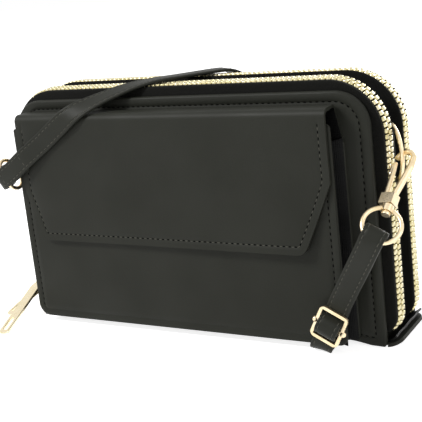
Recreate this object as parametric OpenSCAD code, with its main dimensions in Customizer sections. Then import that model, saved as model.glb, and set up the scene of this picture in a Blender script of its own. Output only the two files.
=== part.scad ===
// Phone pouch: a double zip-around wallet bag with a flap pocket for a phone
// and a crossbody strap on two trigger hooks.
// X runs along the width, Y from the front (minus) to the back, Z up.
// The origin is the middle of the base, on the surface that the bag stands on.

/* [Boards] */
// Width of the front and back boards
board_w = 186; // [160:1:220]
// Height of the boards
board_h = 112; // [100:1:140]
// Thickness of a board with its leather
board_t = 3; // [2:0.1:4]
// Radius of the edge that the zips follow at the upper corners
corner_r = 20; // [14:1:30]
// Radius of the boards' upper corners
board_corner_r = 15; // [10:1:20]
// Distance between the outer faces of the two boards
bag_d = 40; // [38:1:56]
// Thickness of the leather under the base
base_t = 1.6; // [1:0.1:2.4]
// Height of the arch that the soft base bends into over the strap
arch_rise = 2.3; // [2:0.1:4]
// Width of that arch
arch_w = 40; // [30:1:50]
// How far the base's ends stand out beyond the boards
tongue_l = 5.5; // [3:0.5:8]
// Radius of those ends' corners
tongue_r = 8; // [4:0.5:12]
// Room between those ends and the boards' side edges
tongue_gap = 0.4; // [0.3:0.1:1]
// Where the strap passes under the base, to the right of the middle
arch_x = 67; // [50:1:70]

/* [Divider] */
// Thickness of the middle divider
divider_t = 2.4; // [1.6:0.1:3.2]
// Width of the band along the divider's edge, between the two zips
band_w = 8.4; // [7:0.1:9]
// Thickness of that band
band_t = 1.5; // [1:0.1:2]
// How far the band's surface lies inside the boards' edge
band_sink = 0.5; // [0:0.1:1.5]
// How far the band's stem reaches down to the divider
band_stem = 2; // [1:0.1:2.4]
// Number of steps of card slots
card_steps = 4; // [2:1:5]
// Width of one row of card slots
card_w = 84; // [60:1:86]
// Height of the tallest layer of card slots
card_h = 84; // [60:1:90]
// How much lower each layer of card slots is
card_drop = 12; // [8:1:16]
// Thickness of one layer of card slots
card_t = 0.8; // [0.6:0.1:1.2]

/* [Zips] */
// Distance between the two chains
zip_gap = 21; // [19:0.5:24]
// How far the chains stand out beyond the boards' edge
zip_rise = 3.8; // [3:0.1:5]
// Lean of each chain to its own side of the bag
zip_lean = 4; // [0:1:8]
// Width of a closed chain
chain_w = 5.8; // [5:0.1:6.6]
// Spacing of the teeth on one tape
tooth_pitch = 2.5; // [2.2:0.1:3]
// Thickness of a tooth
tooth_t = 2.2; // [1.8:0.1:2.6]
// Width of a tooth's leg, along the chain
tooth_leg = 1.7; // [1.3:0.05:1.8]
// Width of a tooth's head, along the chain
tooth_head = 1; // [0.7:0.05:1]
// How far a head reaches past the middle of the chain
head_reach = 1; // [0.6:0.1:1.2]
// Thickness of the zip tape
tape_t = 0.8; // [0.5:0.1:1]
// Height at which the zips turn in towards the base
foot_h = 13; // [10:1:20]
// Radius of that turn, at the chain
foot_r = 9; // [8:0.5:12]
// Angle of that turn
foot_turn = 55; // [30:1:70]

/* [Zip sliders] */
// Length of a slider's body
slider_l = 11; // [9:0.5:14]
// Height of a slider above the base
slider_z = 19.5; // [19:0.5:24]
// Thickness of a slider's plates
plate_t = 1; // [0.8:0.1:1.4]
// Clearance between the chain and the slider
slider_gap = 0.25; // [0.15:0.05:0.4]
// Width of the slider's side walls
wall_w = 1; // [0.8:0.1:1.4]
// Thickness of the slider's bail
bail_t = 1.3; // [1:0.1:1.6]
// Height of the space under the bail
bail_h = 3.4; // [2.4:0.1:4]
// Length of a pull
pull_l = 41; // [30:1:46]
// Width of a pull
pull_w = 5.4; // [4:0.1:7]
// Thickness of a pull
pull_t = 1.5; // [1:0.1:2]
// Length of the slot near a pull's tip
pull_slot_l = 9; // [6:0.5:14]
// Width of that slot
pull_slot_w = 2.2; // [1.5:0.1:3]
// Radius of the ring between slider and pull, at the wire's middle
link_r = 2.9; // [2.4:0.1:3.4]
// Radius of that ring's wire
link_wire_r = 0.55; // [0.4:0.05:0.7]

/* [Phone pocket] */
// Width of the phone pocket
pocket_w = 167; // [140:1:180]
// Where the pocket's middle lies, from the bag's middle
pocket_x = -3.6; // [-8:0.5:0]
// Height of the pocket's lower edge above the base
pocket_z = 3.4; // [3:0.1:8]
// Height of the pocket's front panel
pocket_h = 97; // [80:1:100]
// Depth of the pocket, from the board's face to its outer face
pocket_d = 10.3; // [8:0.1:16]
// Thickness of the pocket's leather
skin_t = 1.2; // [0.8:0.1:1.8]
// How far the gusset folds in at the middle
gusset_fold = 4; // [2:0.1:6]
// How much wider the rear panel is than the front panel, each side
rear_margin = 2; // [0:0.1:2.4]

/* [Flap] */
// Width of the flap
flap_w = 165; // [140:1:180]
// Width of the flap's lower edge
flap_tip_w = 138; // [110:1:150]
// Height of the flap's lower edge above the base
flap_tip_z = 45; // [38:1:60]
// Height at which the flap's sides start to slant
flap_knee_z = 76; // [66:1:86]
// Height of the flap's top above the base
flap_top_z = 107; // [105:0.5:109]
// Thickness of the flap
flap_t = 1.5; // [1:0.1:2]
// Radius of the flap's lower corners
flap_corner_r = 5; // [2:0.5:8]
// Running clearance between the flap and the pocket
flap_gap = 0.4; // [0.3:0.1:1]
// Depth of the flap's tail, sewn behind the pocket
tail_h = 14; // [8:1:20]
// Diameter of the magnets of the flap's closure
magnet_d = 14; // [10:1:18]
// Thickness of each magnet
magnet_t = 0.7; // [0.5:0.1:0.9]
// Height of the magnets above the base
magnet_z = 57; // [54:1:64]

/* [Rings and hooks] */
// Height of the D-rings' middle above the base
ring_z = 82; // [76:1:86]
// Half the height of a D-ring, at the wire's middle
ring_half = 12.2; // [11:0.1:14]
// How far a D-ring stands out from its bar, at the wire's middle
ring_out = 13.5; // [12.5:0.1:14]
// Radius of a D-ring's wire
ring_wire_r = 0.9; // [0.7:0.05:1]
// Clearance round the D-ring's bar in its tab
bar_gap = 0.05; // [0.03:0.01:0.1]
// Thickness of the leather tab round the bar
tab_t = 0.7; // [0.5:0.1:1]
// Height of that tab
tab_h = 18; // [12:0.5:20]
// Angle at which the right D-ring lies, towards the front
ring_swing_right = 51; // [40:1:53]
// Angle at which the left D-ring lies, towards the back
ring_swing_left = 27; // [20:1:34]
// Half the width of a hook's claw, at the wire's middle
claw_r = 4; // [3.4:0.1:4.6]
// Radius of the claw's wire
claw_wire_r = 1.25; // [1:0.05:1.4]
// Distance from the D-ring's wire down to the hook's base
hook_l = 19; // [16:0.5:22]
// Height of the hook's base
hook_base_h = 5; // [4:0.5:7]
// Width of the hook's base
hook_base_w = 6.4; // [5:0.1:8]
// Thickness of the hook's base
hook_base_t = 4.4; // [3.6:0.1:5]
// Radius of the gate
gate_r = 1.15; // [0.9:0.05:1.3]
// Clearance at the gate's two ends and on its pin
gate_gap = 0.3; // [0.2:0.05:0.5]
// Radius of the swivel's post
post_r = 1.2; // [0.9:0.05:1.4]
// Radial clearance of the post in the eye's boss
post_gap = 0.08; // [0.05:0.01:0.1]
// Height of the eye's boss
boss_h = 3; // [2.4:0.1:4]
// Radius of the eye's boss
boss_r = 2.4; // [2:0.1:2.8]
// Radius of the eye ring, at the wire's middle
eye_r = 7.8; // [7.4:0.1:9]
// Radius of the eye ring's wire
eye_wire_r = 0.95; // [0.8:0.05:1.1]

/* [Strap] */
// Width of the strap
strap_w = 10; // [8:0.5:10.5]
// Thickness of the strap
strap_t = 1.5; // [1.2:0.1:1.8]
// Width of the rim that the strap's edges are bevelled by
strap_bevel = 0.3; // [0.2:0.05:0.4]
// Outer width of the slider buckle
buckle_w = 13.6; // [13.4:0.1:16]
// Outer length of the slider buckle
buckle_l = 15.4; // [15:0.1:18]
// Width and thickness of the buckle's bars
buckle_bar = 1.4; // [1.2:0.1:1.6]
// Radius of the round ends of the buckle's middle bar
buckle_knob_r = 1.35; // [1:0.05:1.4]
// Radius of the buckle's corners
buckle_r = 2.4; // [1.6:0.1:3]
// Turns of each strand in the rolled-up rest of the strap
coil_turns = 3; // [2:1:4]
// Radius at which the roll starts, at its middle
coil_start_r = 5; // [5:0.5:8]
// Spacing from one layer of the roll to the next
coil_pitch = 4.2; // [3.9:0.1:5]

/* [Hidden] */

leather = [0.16, 0.16, 0.14];
lining = [0.10, 0.10, 0.11];
tape_black = [0.07, 0.07, 0.09];
pale_gold = [0.88, 0.82, 0.58];
rose_gold = [0.88, 0.76, 0.60];
magnet_grey = [0.55, 0.55, 0.57];

// Overrun of every cut past the face that it leaves by
over = 1;
half_w = board_w / 2;
half_d = bag_d / 2;
foot_in = foot_r - zip_rise;
side_h = board_h - corner_r - foot_h;
top_w = board_w - 2 * corner_r;
chain_corner_r = corner_r + zip_rise;
arch_r = (pow(arch_w / 2, 2) + pow(arch_rise, 2)) / (2 * arch_rise);

// Sweeps a profile round the bag's sides and top. In the profile, x is the distance
// out from the board's edge and y runs to the back.
module along_edge() {
    translate([top_w / 2, 0, board_h]) rotate([0, -90, 0]) linear_extrude(top_w) children();
    for (side = [0, 1]) mirror([side, 0, 0]) {
        translate([half_w, 0, foot_h]) linear_extrude(side_h) children();
        translate([half_w - corner_r, 0, board_h - corner_r]) rotate([-90, 0, 0]) rotate([0, 0, -90])
            rotate_extrude(angle = 90, $fn = 48) translate([corner_r, 0]) children();
        translate([half_w - foot_in, 0, foot_h]) rotate([-90, 0, 0])
            rotate_extrude(angle = foot_turn, $fn = 48) translate([foot_in, 0]) children();
    }
}

// The chain's length from its right foot to its left foot, in five stretches
foot_len = foot_r * foot_turn * PI / 180;
corner_len = chain_corner_r * PI / 2;
half_len = foot_len + side_h + corner_len + top_w / 2;
chain_len = 2 * half_len;

// Place on the chain's middle line at a distance from the right foot: x, z, angle of the outward side
function right_place(s) =
    s < foot_len ? let (a = (s - foot_len) / foot_r * 180 / PI)
        [half_w - foot_in + foot_r * cos(a), foot_h + foot_r * sin(a), a]
    : s < foot_len + side_h ? [half_w + zip_rise, foot_h + s - foot_len, 0]
    : s < foot_len + side_h + corner_len ? let (a = (s - foot_len - side_h) / chain_corner_r * 180 / PI)
        [half_w - corner_r + chain_corner_r * cos(a), board_h - corner_r + chain_corner_r * sin(a), a]
    : [half_w - corner_r - (s - foot_len - side_h - corner_len), board_h + zip_rise, 90];
function edge_place(s) = s <= half_len ? right_place(s)
    : let (p = right_place(chain_len - s)) [-p.x, p.y, 180 - p.z];

// Moves a front piece to its chain or mirrors it to the back one
module zip_side(back) mirror([0, back ? 1 : 0, 0]) children();

// A strip of even thickness along a line of points
function strip_normal(p, i) = let (a = p[max(i - 1, 0)], b = p[min(i + 1, len(p) - 1)], d = b - a)
    [-d.y, d.x] / norm(d);
module strip(p, t) polygon(concat(
    [for (i = [0:len(p) - 1]) p[i] + strip_normal(p, i) * t / 2],
    [for (i = [len(p) - 1:-1:0]) p[i] - strip_normal(p, i) * t / 2]));

// Front chain's middle in the edge profile, and points beside it on its leaning surface
chain_mid = [zip_rise, -zip_gap / 2];
function beside_chain(d) = chain_mid + d * [sin(zip_lean), cos(zip_lean)];
tape_flat = chain_w / 2 + slider_gap + wall_w + tape_t / 2;
tape_edge_share = 1.3;
tape_edge = head_reach * tape_edge_share;
tape_seat = foot_in - tape_t;
board_back = -half_d + board_t;

module outer_tape(back) color(tape_black) zip_side(back) along_edge() strip([
    [-tape_seat, board_back + tape_t / 2],
    [-tape_t / 2, board_back + tape_t / 2],
    beside_chain(-tape_flat),
    beside_chain(-tape_edge)], tape_t);

band_low = -band_sink - band_t;
module inner_tape(back) color(tape_black) zip_side(back) along_edge() strip([
    beside_chain(tape_edge),
    beside_chain(tape_flat),
    [band_low + band_t, -band_w / 2 - tape_t / 2],
    [band_low, -band_w / 2 - tape_t / 2]], tape_t);

// One tooth, its head pointing to +y: the leg clamps the tape's edge, the head locks between two others
leg_out = chain_w / 2;
head_bevel_share = 0.2;
head_bevel = tooth_head * head_bevel_share;
module tooth() translate([-tooth_t / 2, 0, 0]) rotate([90, 0, 90]) linear_extrude(tooth_t) polygon([
    [-leg_out, -tooth_leg / 2],
    [-head_reach - head_bevel, -tooth_leg / 2],
    [-head_reach - head_bevel, -tooth_head / 2],
    [head_reach - head_bevel, -tooth_head / 2],
    [head_reach, -tooth_head / 2 + head_bevel],
    [head_reach, tooth_head / 2 - head_bevel],
    [head_reach - head_bevel, tooth_head / 2],
    [-head_reach - head_bevel, tooth_head / 2],
    [-head_reach - head_bevel, tooth_leg / 2],
    [-leg_out, tooth_leg / 2]]);

teeth_count = floor((chain_len - tooth_pitch) / tooth_pitch);
teeth_start = (chain_len - teeth_count * tooth_pitch) / 2;
module teeth(back, inner) color(pale_gold) zip_side(back)
    for (i = [0:teeth_count - (inner ? 1 : 0)])
        let (p = edge_place(teeth_start + (i + (inner ? 0.5 : 0)) * tooth_pitch))
            translate([p.x, -zip_gap / 2, p.y]) rotate([0, -p.z, 0]) rotate([0, 0, -zip_lean])
                mirror([0, inner ? 1 : 0, 0]) tooth();

// Metal stops that join the two tapes at the right foot
stop_share = 0.25;
stop_l = tooth_pitch * stop_share;
module zip_end_stops() color(pale_gold) for (back = [false, true]) zip_side(back)
    let (p = edge_place(stop_l / 2)) translate([p.x, -zip_gap / 2, p.y]) rotate([0, -p.z, 0])
        rotate([0, 0, -zip_lean]) cube([tooth_t, 2 * head_reach, stop_l], center = true);

// The boards: square at the base, round at the upper corners, bent up over the strap
module board_outline(corner, inset) {
    r = corner - inset;
    translate([-half_w + inset, 0]) square([board_w - 2 * inset, board_h - corner]);
    translate([-half_w + corner, board_h - corner - over]) square([board_w - 2 * corner, r + over]);
    for (side = [-1, 1]) translate([side * (half_w - corner), board_h - corner]) circle(r, $fn = 48);
}
module base_arch(more) translate([arch_x, 0, arch_rise - arch_r]) rotate([90, 0, 0])
    cylinder(h = bag_d + 2 * over, r = arch_r + more, center = true, $fn = 180);
module board() difference() {
    translate([0, -half_d + board_t, 0]) rotate([90, 0, 0]) linear_extrude(board_t)
        board_outline(board_corner_r, 0);
    base_arch(0);
}
module front_board() color(leather) board();
module back_board() color(leather) mirror([0, 1, 0]) board();
// The base's upturned end, concentric with the zips' turn
module base_end() translate([half_w - foot_in, 0, foot_h]) rotate([90, 0, 0])
    linear_extrude(-2 * board_back, center = true) intersection() {
        difference() {
            circle(foot_h, $fn = 96);
            circle(foot_h - base_t, $fn = 96);
        }
        polygon([[0, 0], [0, -foot_h - over], [foot_h + over, -foot_h - over]]);
    }
// The base's end outside the boards, rounded at its corners
tongue_w = tongue_l + 2 * tongue_r;
module base_tongue() linear_extrude(base_t) difference() {
    hull() for (side = [-1, 1])
        translate([half_w + tongue_l - tongue_r, side * (half_d - tongue_gap - tongue_r)])
            circle(tongue_r, $fn = 48);
    for (side = [-1, 1]) translate([half_w + tongue_gap - tongue_w, side * (half_d - board_t / 2)])
        translate([0, -board_t / 2]) square([tongue_w, board_t]);
}
module base_panel() color(leather) difference() {
    union() {
        for (side = [0, 1]) mirror([side, 0, 0]) base_tongue();
        translate([-half_w + foot_in, board_back, 0]) cube([board_w - 2 * foot_in, -2 * board_back,
            base_t]);
        intersection() {
            base_arch(base_t);
            translate([arch_x - arch_w / 2, board_back, 0]) cube([half_w - foot_in - arch_x + arch_w / 2,
                -2 * board_back, arch_rise + base_t]);
        }
        for (side = [0, 1]) mirror([side, 0, 0]) base_end();
    }
    base_arch(0);
}

// The divider between the compartments, the band along its edge and its card slots
stem_low = band_low - band_stem;
divider_top = board_h + stem_low;
module center_divider() color(lining) difference() {
    union() {
        translate([0, divider_t / 2, 0]) rotate([90, 0, 0]) linear_extrude(divider_t) intersection() {
            board_outline(corner_r, -stem_low);
            translate([-half_w, foot_h]) square([board_w, board_h]);
        }
        translate([-half_w + foot_in, -divider_t / 2, arch_rise + base_t])
            cube([board_w - 2 * foot_in, divider_t, foot_h - arch_rise - base_t]);
    }
}
module divider_band() color(leather) along_edge() {
    translate([band_low, -band_w / 2]) square([band_t, band_w]);
    translate([stem_low, -divider_t / 2]) square([band_stem, divider_t]);
}
card_z = arch_rise + base_t + card_t;
module card_slots() color(lining) for (side = [-1, 1]) for (i = [0:card_steps - 1])
    translate([side * (card_w / 2 + card_t) - card_w / 2, divider_t / 2 + i * card_t, card_z])
        cube([card_w, card_t, card_h - i * card_drop]);

// The phone pocket: two panels joined by a gusset that folds in at the sides
pocket_half = pocket_w / 2;
pocket_face = -half_d - pocket_d;
rear_face = -half_d - skin_t;
rear_half = pocket_half + rear_margin;
module pocket_rear_panel() color(leather)
    translate([pocket_x - rear_half, rear_face, pocket_z])
        cube([2 * rear_half, skin_t, flap_top_z - flap_t - tail_h - pocket_z]);
module pocket_front_panel() color(leather) difference() {
    translate([pocket_x - pocket_half, pocket_face, pocket_z]) cube([pocket_w, skin_t, pocket_h]);
    translate([pocket_x, pocket_face - over, magnet_z]) rotate([-90, 0, 0])
        cylinder(h = magnet_t + over, d = magnet_d, $fn = 48);
}
gusset_low = pocket_face + skin_t;
gusset_mid = (gusset_low + rear_face) / 2;
module pocket_gusset() color(lining) {
    for (side = [0, 1]) translate([pocket_x, 0, pocket_z]) mirror([side, 0, 0]) linear_extrude(pocket_h)
        polygon([
        [pocket_half - skin_t, gusset_low],
        [pocket_half, gusset_low],
        [pocket_half - gusset_fold, gusset_mid],
        [rear_half, rear_face],
        [rear_half - skin_t, rear_face],
        [pocket_half - gusset_fold - skin_t, gusset_mid]]);
    translate([pocket_x - pocket_half + gusset_fold, gusset_low, pocket_z])
        cube([pocket_w - 2 * gusset_fold, rear_face - gusset_low, skin_t]);
}

// The flap: a tail sewn behind the pocket, a bridge over its mouth and the front with slanted corners
flap_back = pocket_face - flap_gap;
flap_face = flap_back - flap_t;
flap_half = flap_w / 2;
bridge_low = flap_top_z - flap_t;
tail_front = rear_face;
bridge_back = rear_face - flap_gap;
bridge_front = flap_back + flap_gap;
module flap_tail() color(leather)
    translate([pocket_x - flap_half, tail_front, bridge_low - tail_h]) cube([flap_w, skin_t,
        tail_h - flap_gap]);
module flap_bridge() color(leather)
    translate([pocket_x - flap_half, bridge_front, bridge_low])
        cube([flap_w, bridge_back - bridge_front, flap_t]);
module flap_outline() {
    r = flap_corner_r;
    difference() {
        polygon([
            [-flap_half, bridge_low - flap_gap],
            [-flap_half, flap_knee_z],
            [-flap_tip_w / 2, flap_tip_z],
            [flap_tip_w / 2, flap_tip_z],
            [flap_half, flap_knee_z],
            [flap_half, bridge_low - flap_gap]]);
        for (side = [0, 1]) mirror([side, 0]) corner_cut([flap_tip_w / 2, flap_tip_z], [flap_half,
            flap_knee_z], r);
    }
    translate([-flap_half, bridge_low - flap_gap]) square([flap_w, flap_gap + flap_t]);
}
// What a round corner leaves outside, where a level line turns into a slanting one
module corner_cut(p, q, r) {
    turn = atan2(q.y - p.y, q.x - p.x);
    run = r * tan(turn / 2);
    difference() {
        polygon([p - [run, over], p + [over, -over], p + [cos(turn) * run + over, sin(turn) * run],
            p + [cos(turn), sin(turn)] * run, p + [-run, r], p - [run, 0]]);
        translate(p + [-run, r]) circle(r, $fn = 48);
    }
}
module flap_front() color(leather) difference() {
    translate([pocket_x, flap_back, 0]) rotate([90, 0, 0]) linear_extrude(flap_t) flap_outline();
    translate([pocket_x, flap_back + over, magnet_z]) rotate([90, 0, 0])
        cylinder(h = magnet_t + over, d = magnet_d, $fn = 48);
}
module flap_magnet() color(magnet_grey) translate([pocket_x, flap_back, magnet_z]) rotate([90, 0, 0])
    cylinder(h = magnet_t, d = magnet_d, $fn = 48);
module pocket_magnet() color(magnet_grey) translate([pocket_x, pocket_face, magnet_z]) rotate([-90, 0, 0])
    cylinder(h = magnet_t, d = magnet_d, $fn = 48);

// A zip slider: two plates with side walls round the chain, and a bail for the pull's link.
// Its own frame: x out from the bag, y to the back, z along the chain.
slider_half = chain_w / 2 + slider_gap + wall_w;
plate_in = tooth_t / 2 + slider_gap;
slot_half = tape_t / 2 + slider_gap / 2;
bail_half = slider_l / 2 - plate_t;
module slider_body() {
    for (side = [0, 1]) mirror([side, 0, 0]) {
        translate([plate_in, -slider_half, -slider_l / 2]) cube([plate_t, 2 * slider_half, slider_l]);
        for (wall = [-slider_half, slider_half - wall_w])
            translate([slot_half, wall, -slider_l / 2]) cube([plate_in + plate_t - slot_half, wall_w,
                slider_l]);
    }
    translate([plate_in + plate_t, -bail_t / 2, -bail_half]) difference() {
        cube([bail_h + bail_t, bail_t, 2 * bail_half]);
        translate([0, -over, bail_t]) cube([bail_h, bail_t + 2 * over, 2 * (bail_half - bail_t)]);
    }
}
slider_x = -half_w - zip_rise;
module at_slider(back) zip_side(back) translate([slider_x, -zip_gap / 2, slider_z])
    mirror([1, 0, 0]) rotate([0, 0, -zip_lean]) children();
module front_slider() color(pale_gold) at_slider(false) slider_body();
module back_slider() color(pale_gold) at_slider(true) slider_body();

// A pull hangs from a wire link through the bail and lies forward along the bag's side.
// Own frame: x out of the bag, y to the back, the link's top passes under the bail.
link_x = slider_x - plate_in - plate_t - bail_h / 2;
pull_hole_r = link_wire_r + slider_gap;
pull_head_share = 1.2;
pull_head = pull_hole_r + link_wire_r * pull_head_share;
module pull_link() rotate([0, 90, 0]) rotate_extrude($fn = 40) translate([link_r, 0]) circle(link_wire_r,
    $fn = 16);
pull_neck = 2 * pull_head;
module pull_plate() translate([0, -link_r, 0]) difference() {
    union() {
        cylinder(h = pull_t, r = pull_head, center = true, $fn = 32);
        linear_extrude(pull_t, center = true) polygon([
            [-pull_head, 0],
            [-pull_head, -pull_neck],
            [-pull_w / 2, -2 * pull_neck],
            [-pull_w / 2, -pull_l + pull_w / 2],
            [pull_w / 2, -pull_l + pull_w / 2],
            [pull_w / 2, -2 * pull_neck],
            [pull_head, -pull_neck],
            [pull_head, 0]]);
        translate([0, -pull_l + pull_w / 2, 0]) cylinder(h = pull_t, d = pull_w, center = true, $fn = 32);
    }
    cylinder(h = pull_t + 2 * over, r = pull_hole_r, center = true, $fn = 24);
    translate([0, -pull_l + pull_w / 2 + pull_slot_w / 2, 0]) {
        translate([-pull_slot_w / 2, 0, -pull_t]) cube([pull_slot_w, pull_slot_l - pull_slot_w,
            2 * pull_t]);
        for (y = [0, pull_slot_l - pull_slot_w])
            translate([0, y, 0]) cylinder(h = 2 * pull_t, d = pull_slot_w, center = true, $fn = 24);
    }
}
// Turn of each pull to the outside and its drop towards the surface
front_pull_turn = -4;
back_pull_turn = 18;
front_pull_drop = 22.5;
back_pull_drop = 22.5;
module at_pull(back, turn) translate([link_x, (back ? 1 : -1) * zip_gap / 2, slider_z - link_r])
    rotate([0, 0, -turn]) children();
module front_pull_link() color(pale_gold) at_pull(false, front_pull_turn) pull_link();
module back_pull_link() color(pale_gold) at_pull(true, back_pull_turn) pull_link();
module front_pull() color(pale_gold) at_pull(false, front_pull_turn) rotate([front_pull_drop, 0, 0])
    pull_plate();
module back_pull() color(pale_gold) at_pull(true, back_pull_turn) rotate([back_pull_drop, 0, 0])
    pull_plate();

// D-rings: a bar in a leather tab on the divider's band, and a round bow that swings about the bar.
// Own frame: the bar on the z axis, the bow towards +x.
bar_hole_r = ring_wire_r + bar_gap;
bar_x = half_w - band_sink + tab_t + bar_hole_r;
bow_x = ring_out - ring_half;
module d_ring() {
    cylinder(h = 2 * ring_half, r = ring_wire_r, center = true, $fn = 24);
    for (end = [-1, 1]) translate([0, 0, end * ring_half]) {
        sphere(ring_wire_r, $fn = 24);
        rotate([0, 90, 0]) cylinder(h = bow_x, r = ring_wire_r, $fn = 24);
    }
    translate([bow_x, 0, 0]) rotate([90, 0, 0]) rotate([0, 0, -90])
        rotate_extrude(angle = 180, $fn = 64) translate([ring_half, 0]) circle(ring_wire_r, $fn = 24);
}
module ring_tab() difference() {
    union() {
        cylinder(h = tab_h, r = bar_hole_r + tab_t, center = true, $fn = 32);
        translate([-bar_hole_r - tab_t, -band_w / 2 + tab_t / 2, -tab_h / 2])
            cube([tab_t, band_w - tab_t, tab_h]);
    }
    cylinder(h = tab_h + 2 * over, r = bar_hole_r, center = true, $fn = 32);
}
module at_bar(left) mirror([left ? 1 : 0, 0, 0]) translate([bar_x, 0, ring_z]) children();
module ring_tab_right() color(leather) at_bar(false) ring_tab();
module ring_tab_left() color(leather) at_bar(true) ring_tab();
module d_ring_right() color(rose_gold) at_bar(false) rotate([0, 0, -ring_swing_right]) d_ring();
module d_ring_left() color(rose_gold) at_bar(true) rotate([0, 0, ring_swing_left]) d_ring();

// A trigger hook. Own frame: the D-ring's wire crosses at the origin, the hook hangs towards -z,
// its gate on the -x side.
ring_seat = ring_wire_r + bar_gap * 2;
claw_z = ring_seat + claw_wire_r - claw_r;
base_top = -hook_l;
base_low = base_top - hook_base_h;
nose_turn = 168;
arm_foot_share = 0.3;
arm_swell_share = 1.12;
knuckle_z = base_top - gate_r;
knuckle_x = -claw_r + gate_r;
module rod(a, b, ra, rb) hull() {
    translate(a) sphere(ra, $fn = 20);
    translate(b) sphere(rb, $fn = 20);
}
module hook_body() {
    translate([0, 0, claw_z]) rotate([90, 0, 0])
        rotate_extrude(angle = nose_turn, $fn = 48) translate([claw_r, 0]) circle(claw_wire_r, $fn = 20);
    rod([claw_r, 0, claw_z], [claw_r, 0, claw_z - claw_r], claw_wire_r, claw_wire_r * arm_swell_share);
    rod([claw_r, 0, claw_z - claw_r], [claw_r * arm_foot_share, 0, base_top],
        claw_wire_r * arm_swell_share, claw_wire_r * arm_swell_share);
    difference() {
        translate([-claw_r, -hook_base_t / 2, base_low])
            cube([hook_base_w, hook_base_t, hook_base_h]);
        translate([-claw_r - over, -gate_r - gate_gap, knuckle_z - gate_r - gate_gap])
            cube([over + 2 * gate_r + 2 * gate_gap, 2 * gate_r + 2 * gate_gap,
                2 * gate_r + gate_gap + over]);
    }
    translate([knuckle_x, 0, knuckle_z]) rotate([90, 0, 0])
        cylinder(h = hook_base_t, r = pin_r, center = true, $fn = 20);
    translate([0, 0, base_low - boss_h - 2 * gate_gap]) cylinder(h = boss_h + 2 * gate_gap + over,
        r = post_r, $fn = 24);
    translate([0, 0, base_low - boss_h - 2 * gate_gap - post_r]) cylinder(h = post_r, r = head_r, $fn = 24);
}
pin_r = gate_r / 2;
head_r = post_r + claw_wire_r / 2;
gate_top = claw_z + claw_r * sin(nose_turn) - claw_wire_r - gate_gap;
stub_share = 3;
gate_tip_share = 0.84;
stub_z = gate_top - gate_r * stub_share;
module hook_gate() difference() {
    union() {
        translate([knuckle_x, 0, knuckle_z]) rotate([90, 0, 0]) cylinder(h = 2 * gate_r, r = gate_r,
            center = true, $fn = 24);
        rod([knuckle_x, 0, knuckle_z], [-claw_r, 0, gate_top - gate_r], gate_r, gate_r * gate_tip_share);
        rod([-claw_r - gate_r / 2, 0, stub_z + gate_r], [-claw_r - gate_r / 2, 0, stub_z - gate_r * 2],
            gate_r, gate_r);
    }
    translate([knuckle_x, 0, knuckle_z]) rotate([90, 0, 0])
        cylinder(h = hook_base_t, r = pin_r + post_gap, center = true, $fn = 24);
}
boss_z = base_low - gate_gap - boss_h / 2;
eye_z = boss_z - eye_r;
module eye_ring() difference() {
    union() {
        translate([0, 0, eye_z]) rotate([90, 0, 0]) rotate_extrude($fn = 56)
            translate([eye_r, 0]) circle(eye_wire_r, $fn = 20);
        translate([0, 0, boss_z]) cylinder(h = boss_h, r = boss_r, center = true, $fn = 32);
    }
    translate([0, 0, boss_z]) cylinder(h = boss_h * 2, r = post_r + post_gap, center = true, $fn = 32);
    translate([0, 0, boss_z - boss_h / 2 - post_r * 2]) cylinder(h = post_r * 2, r = head_r + post_gap,
        $fn = 32);
}

// Where each hook hangs: the point of the D-ring's wire, and the hook's three turns
right_hook_at = [104.1, -9.9, 82.2];
right_hook_turn = [-49, 0, -7];
right_hook_spin = -9;
right_eye_spin = 28;
left_hook_at = [-106.2, 6.1, 81.2];
left_hook_turn = [-81.8, 0, 16];
left_hook_spin = 0;
left_eye_spin = 65;
module at_right_hook(spin) translate(right_hook_at) rotate(right_hook_turn) rotate([0, 0, spin]) children();
module at_left_hook(spin) translate(left_hook_at) rotate(left_hook_turn) rotate([0, 0, spin]) children();
module hook_body_right() color(rose_gold) at_right_hook(right_hook_spin) hook_body();
module hook_body_left() color(rose_gold) at_left_hook(left_hook_spin) hook_body();
module hook_gate_right() color(rose_gold) at_right_hook(right_hook_spin) hook_gate();
module hook_gate_left() color(rose_gold) at_left_hook(left_hook_spin) hook_gate();
module eye_ring_right() color(rose_gold) at_right_hook(right_eye_spin) eye_ring();
module eye_ring_left() color(rose_gold) at_left_hook(left_eye_spin) eye_ring();

// The strap. A smooth line runs through the route's points; each point carries the side that the
// strap's width faces, and the flat section is swept along it.
function smooth(p, i, t) = let (a = p[max(i - 1, 0)], b = p[i], c = p[i + 1], d = p[min(i + 2, len(p) - 1)])
    0.5 * ((2 * b) + (c - a) * t + (2 * a - 5 * b + 4 * c - d) * t * t + (3 * b - a - 3 * c + d)
        * t * t * t);
function smooth_line(p, n) = concat([for (i = [0:len(p) - 2]) for (k = [0:n - 1]) smooth(p, i, k / n)],
    [p[len(p) - 1]]);
function unit(v) = v / norm(v);
function tangent(p, i) = unit(p[min(i + 1, len(p) - 1)] - p[max(i - 1, 0)]);
bevel_w = strap_w / 2 - strap_bevel;
bevel_t = strap_t / 2 - strap_bevel;
strap_section = [[strap_w / 2, -bevel_t], [strap_w / 2, bevel_t], [bevel_w, strap_t / 2], [-bevel_w,
    strap_t / 2],
    [-strap_w / 2, bevel_t], [-strap_w / 2, -bevel_t], [-bevel_w, -strap_t / 2], [bevel_w, -strap_t / 2]];
sides = len(strap_section);
function ring(p, w, i) = let (t = tangent(p, i), n = unit(cross(t, w[i])), s = cross(n, t))
    [for (q = strap_section) p[i] + q.x * s + q.y * n];
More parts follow.
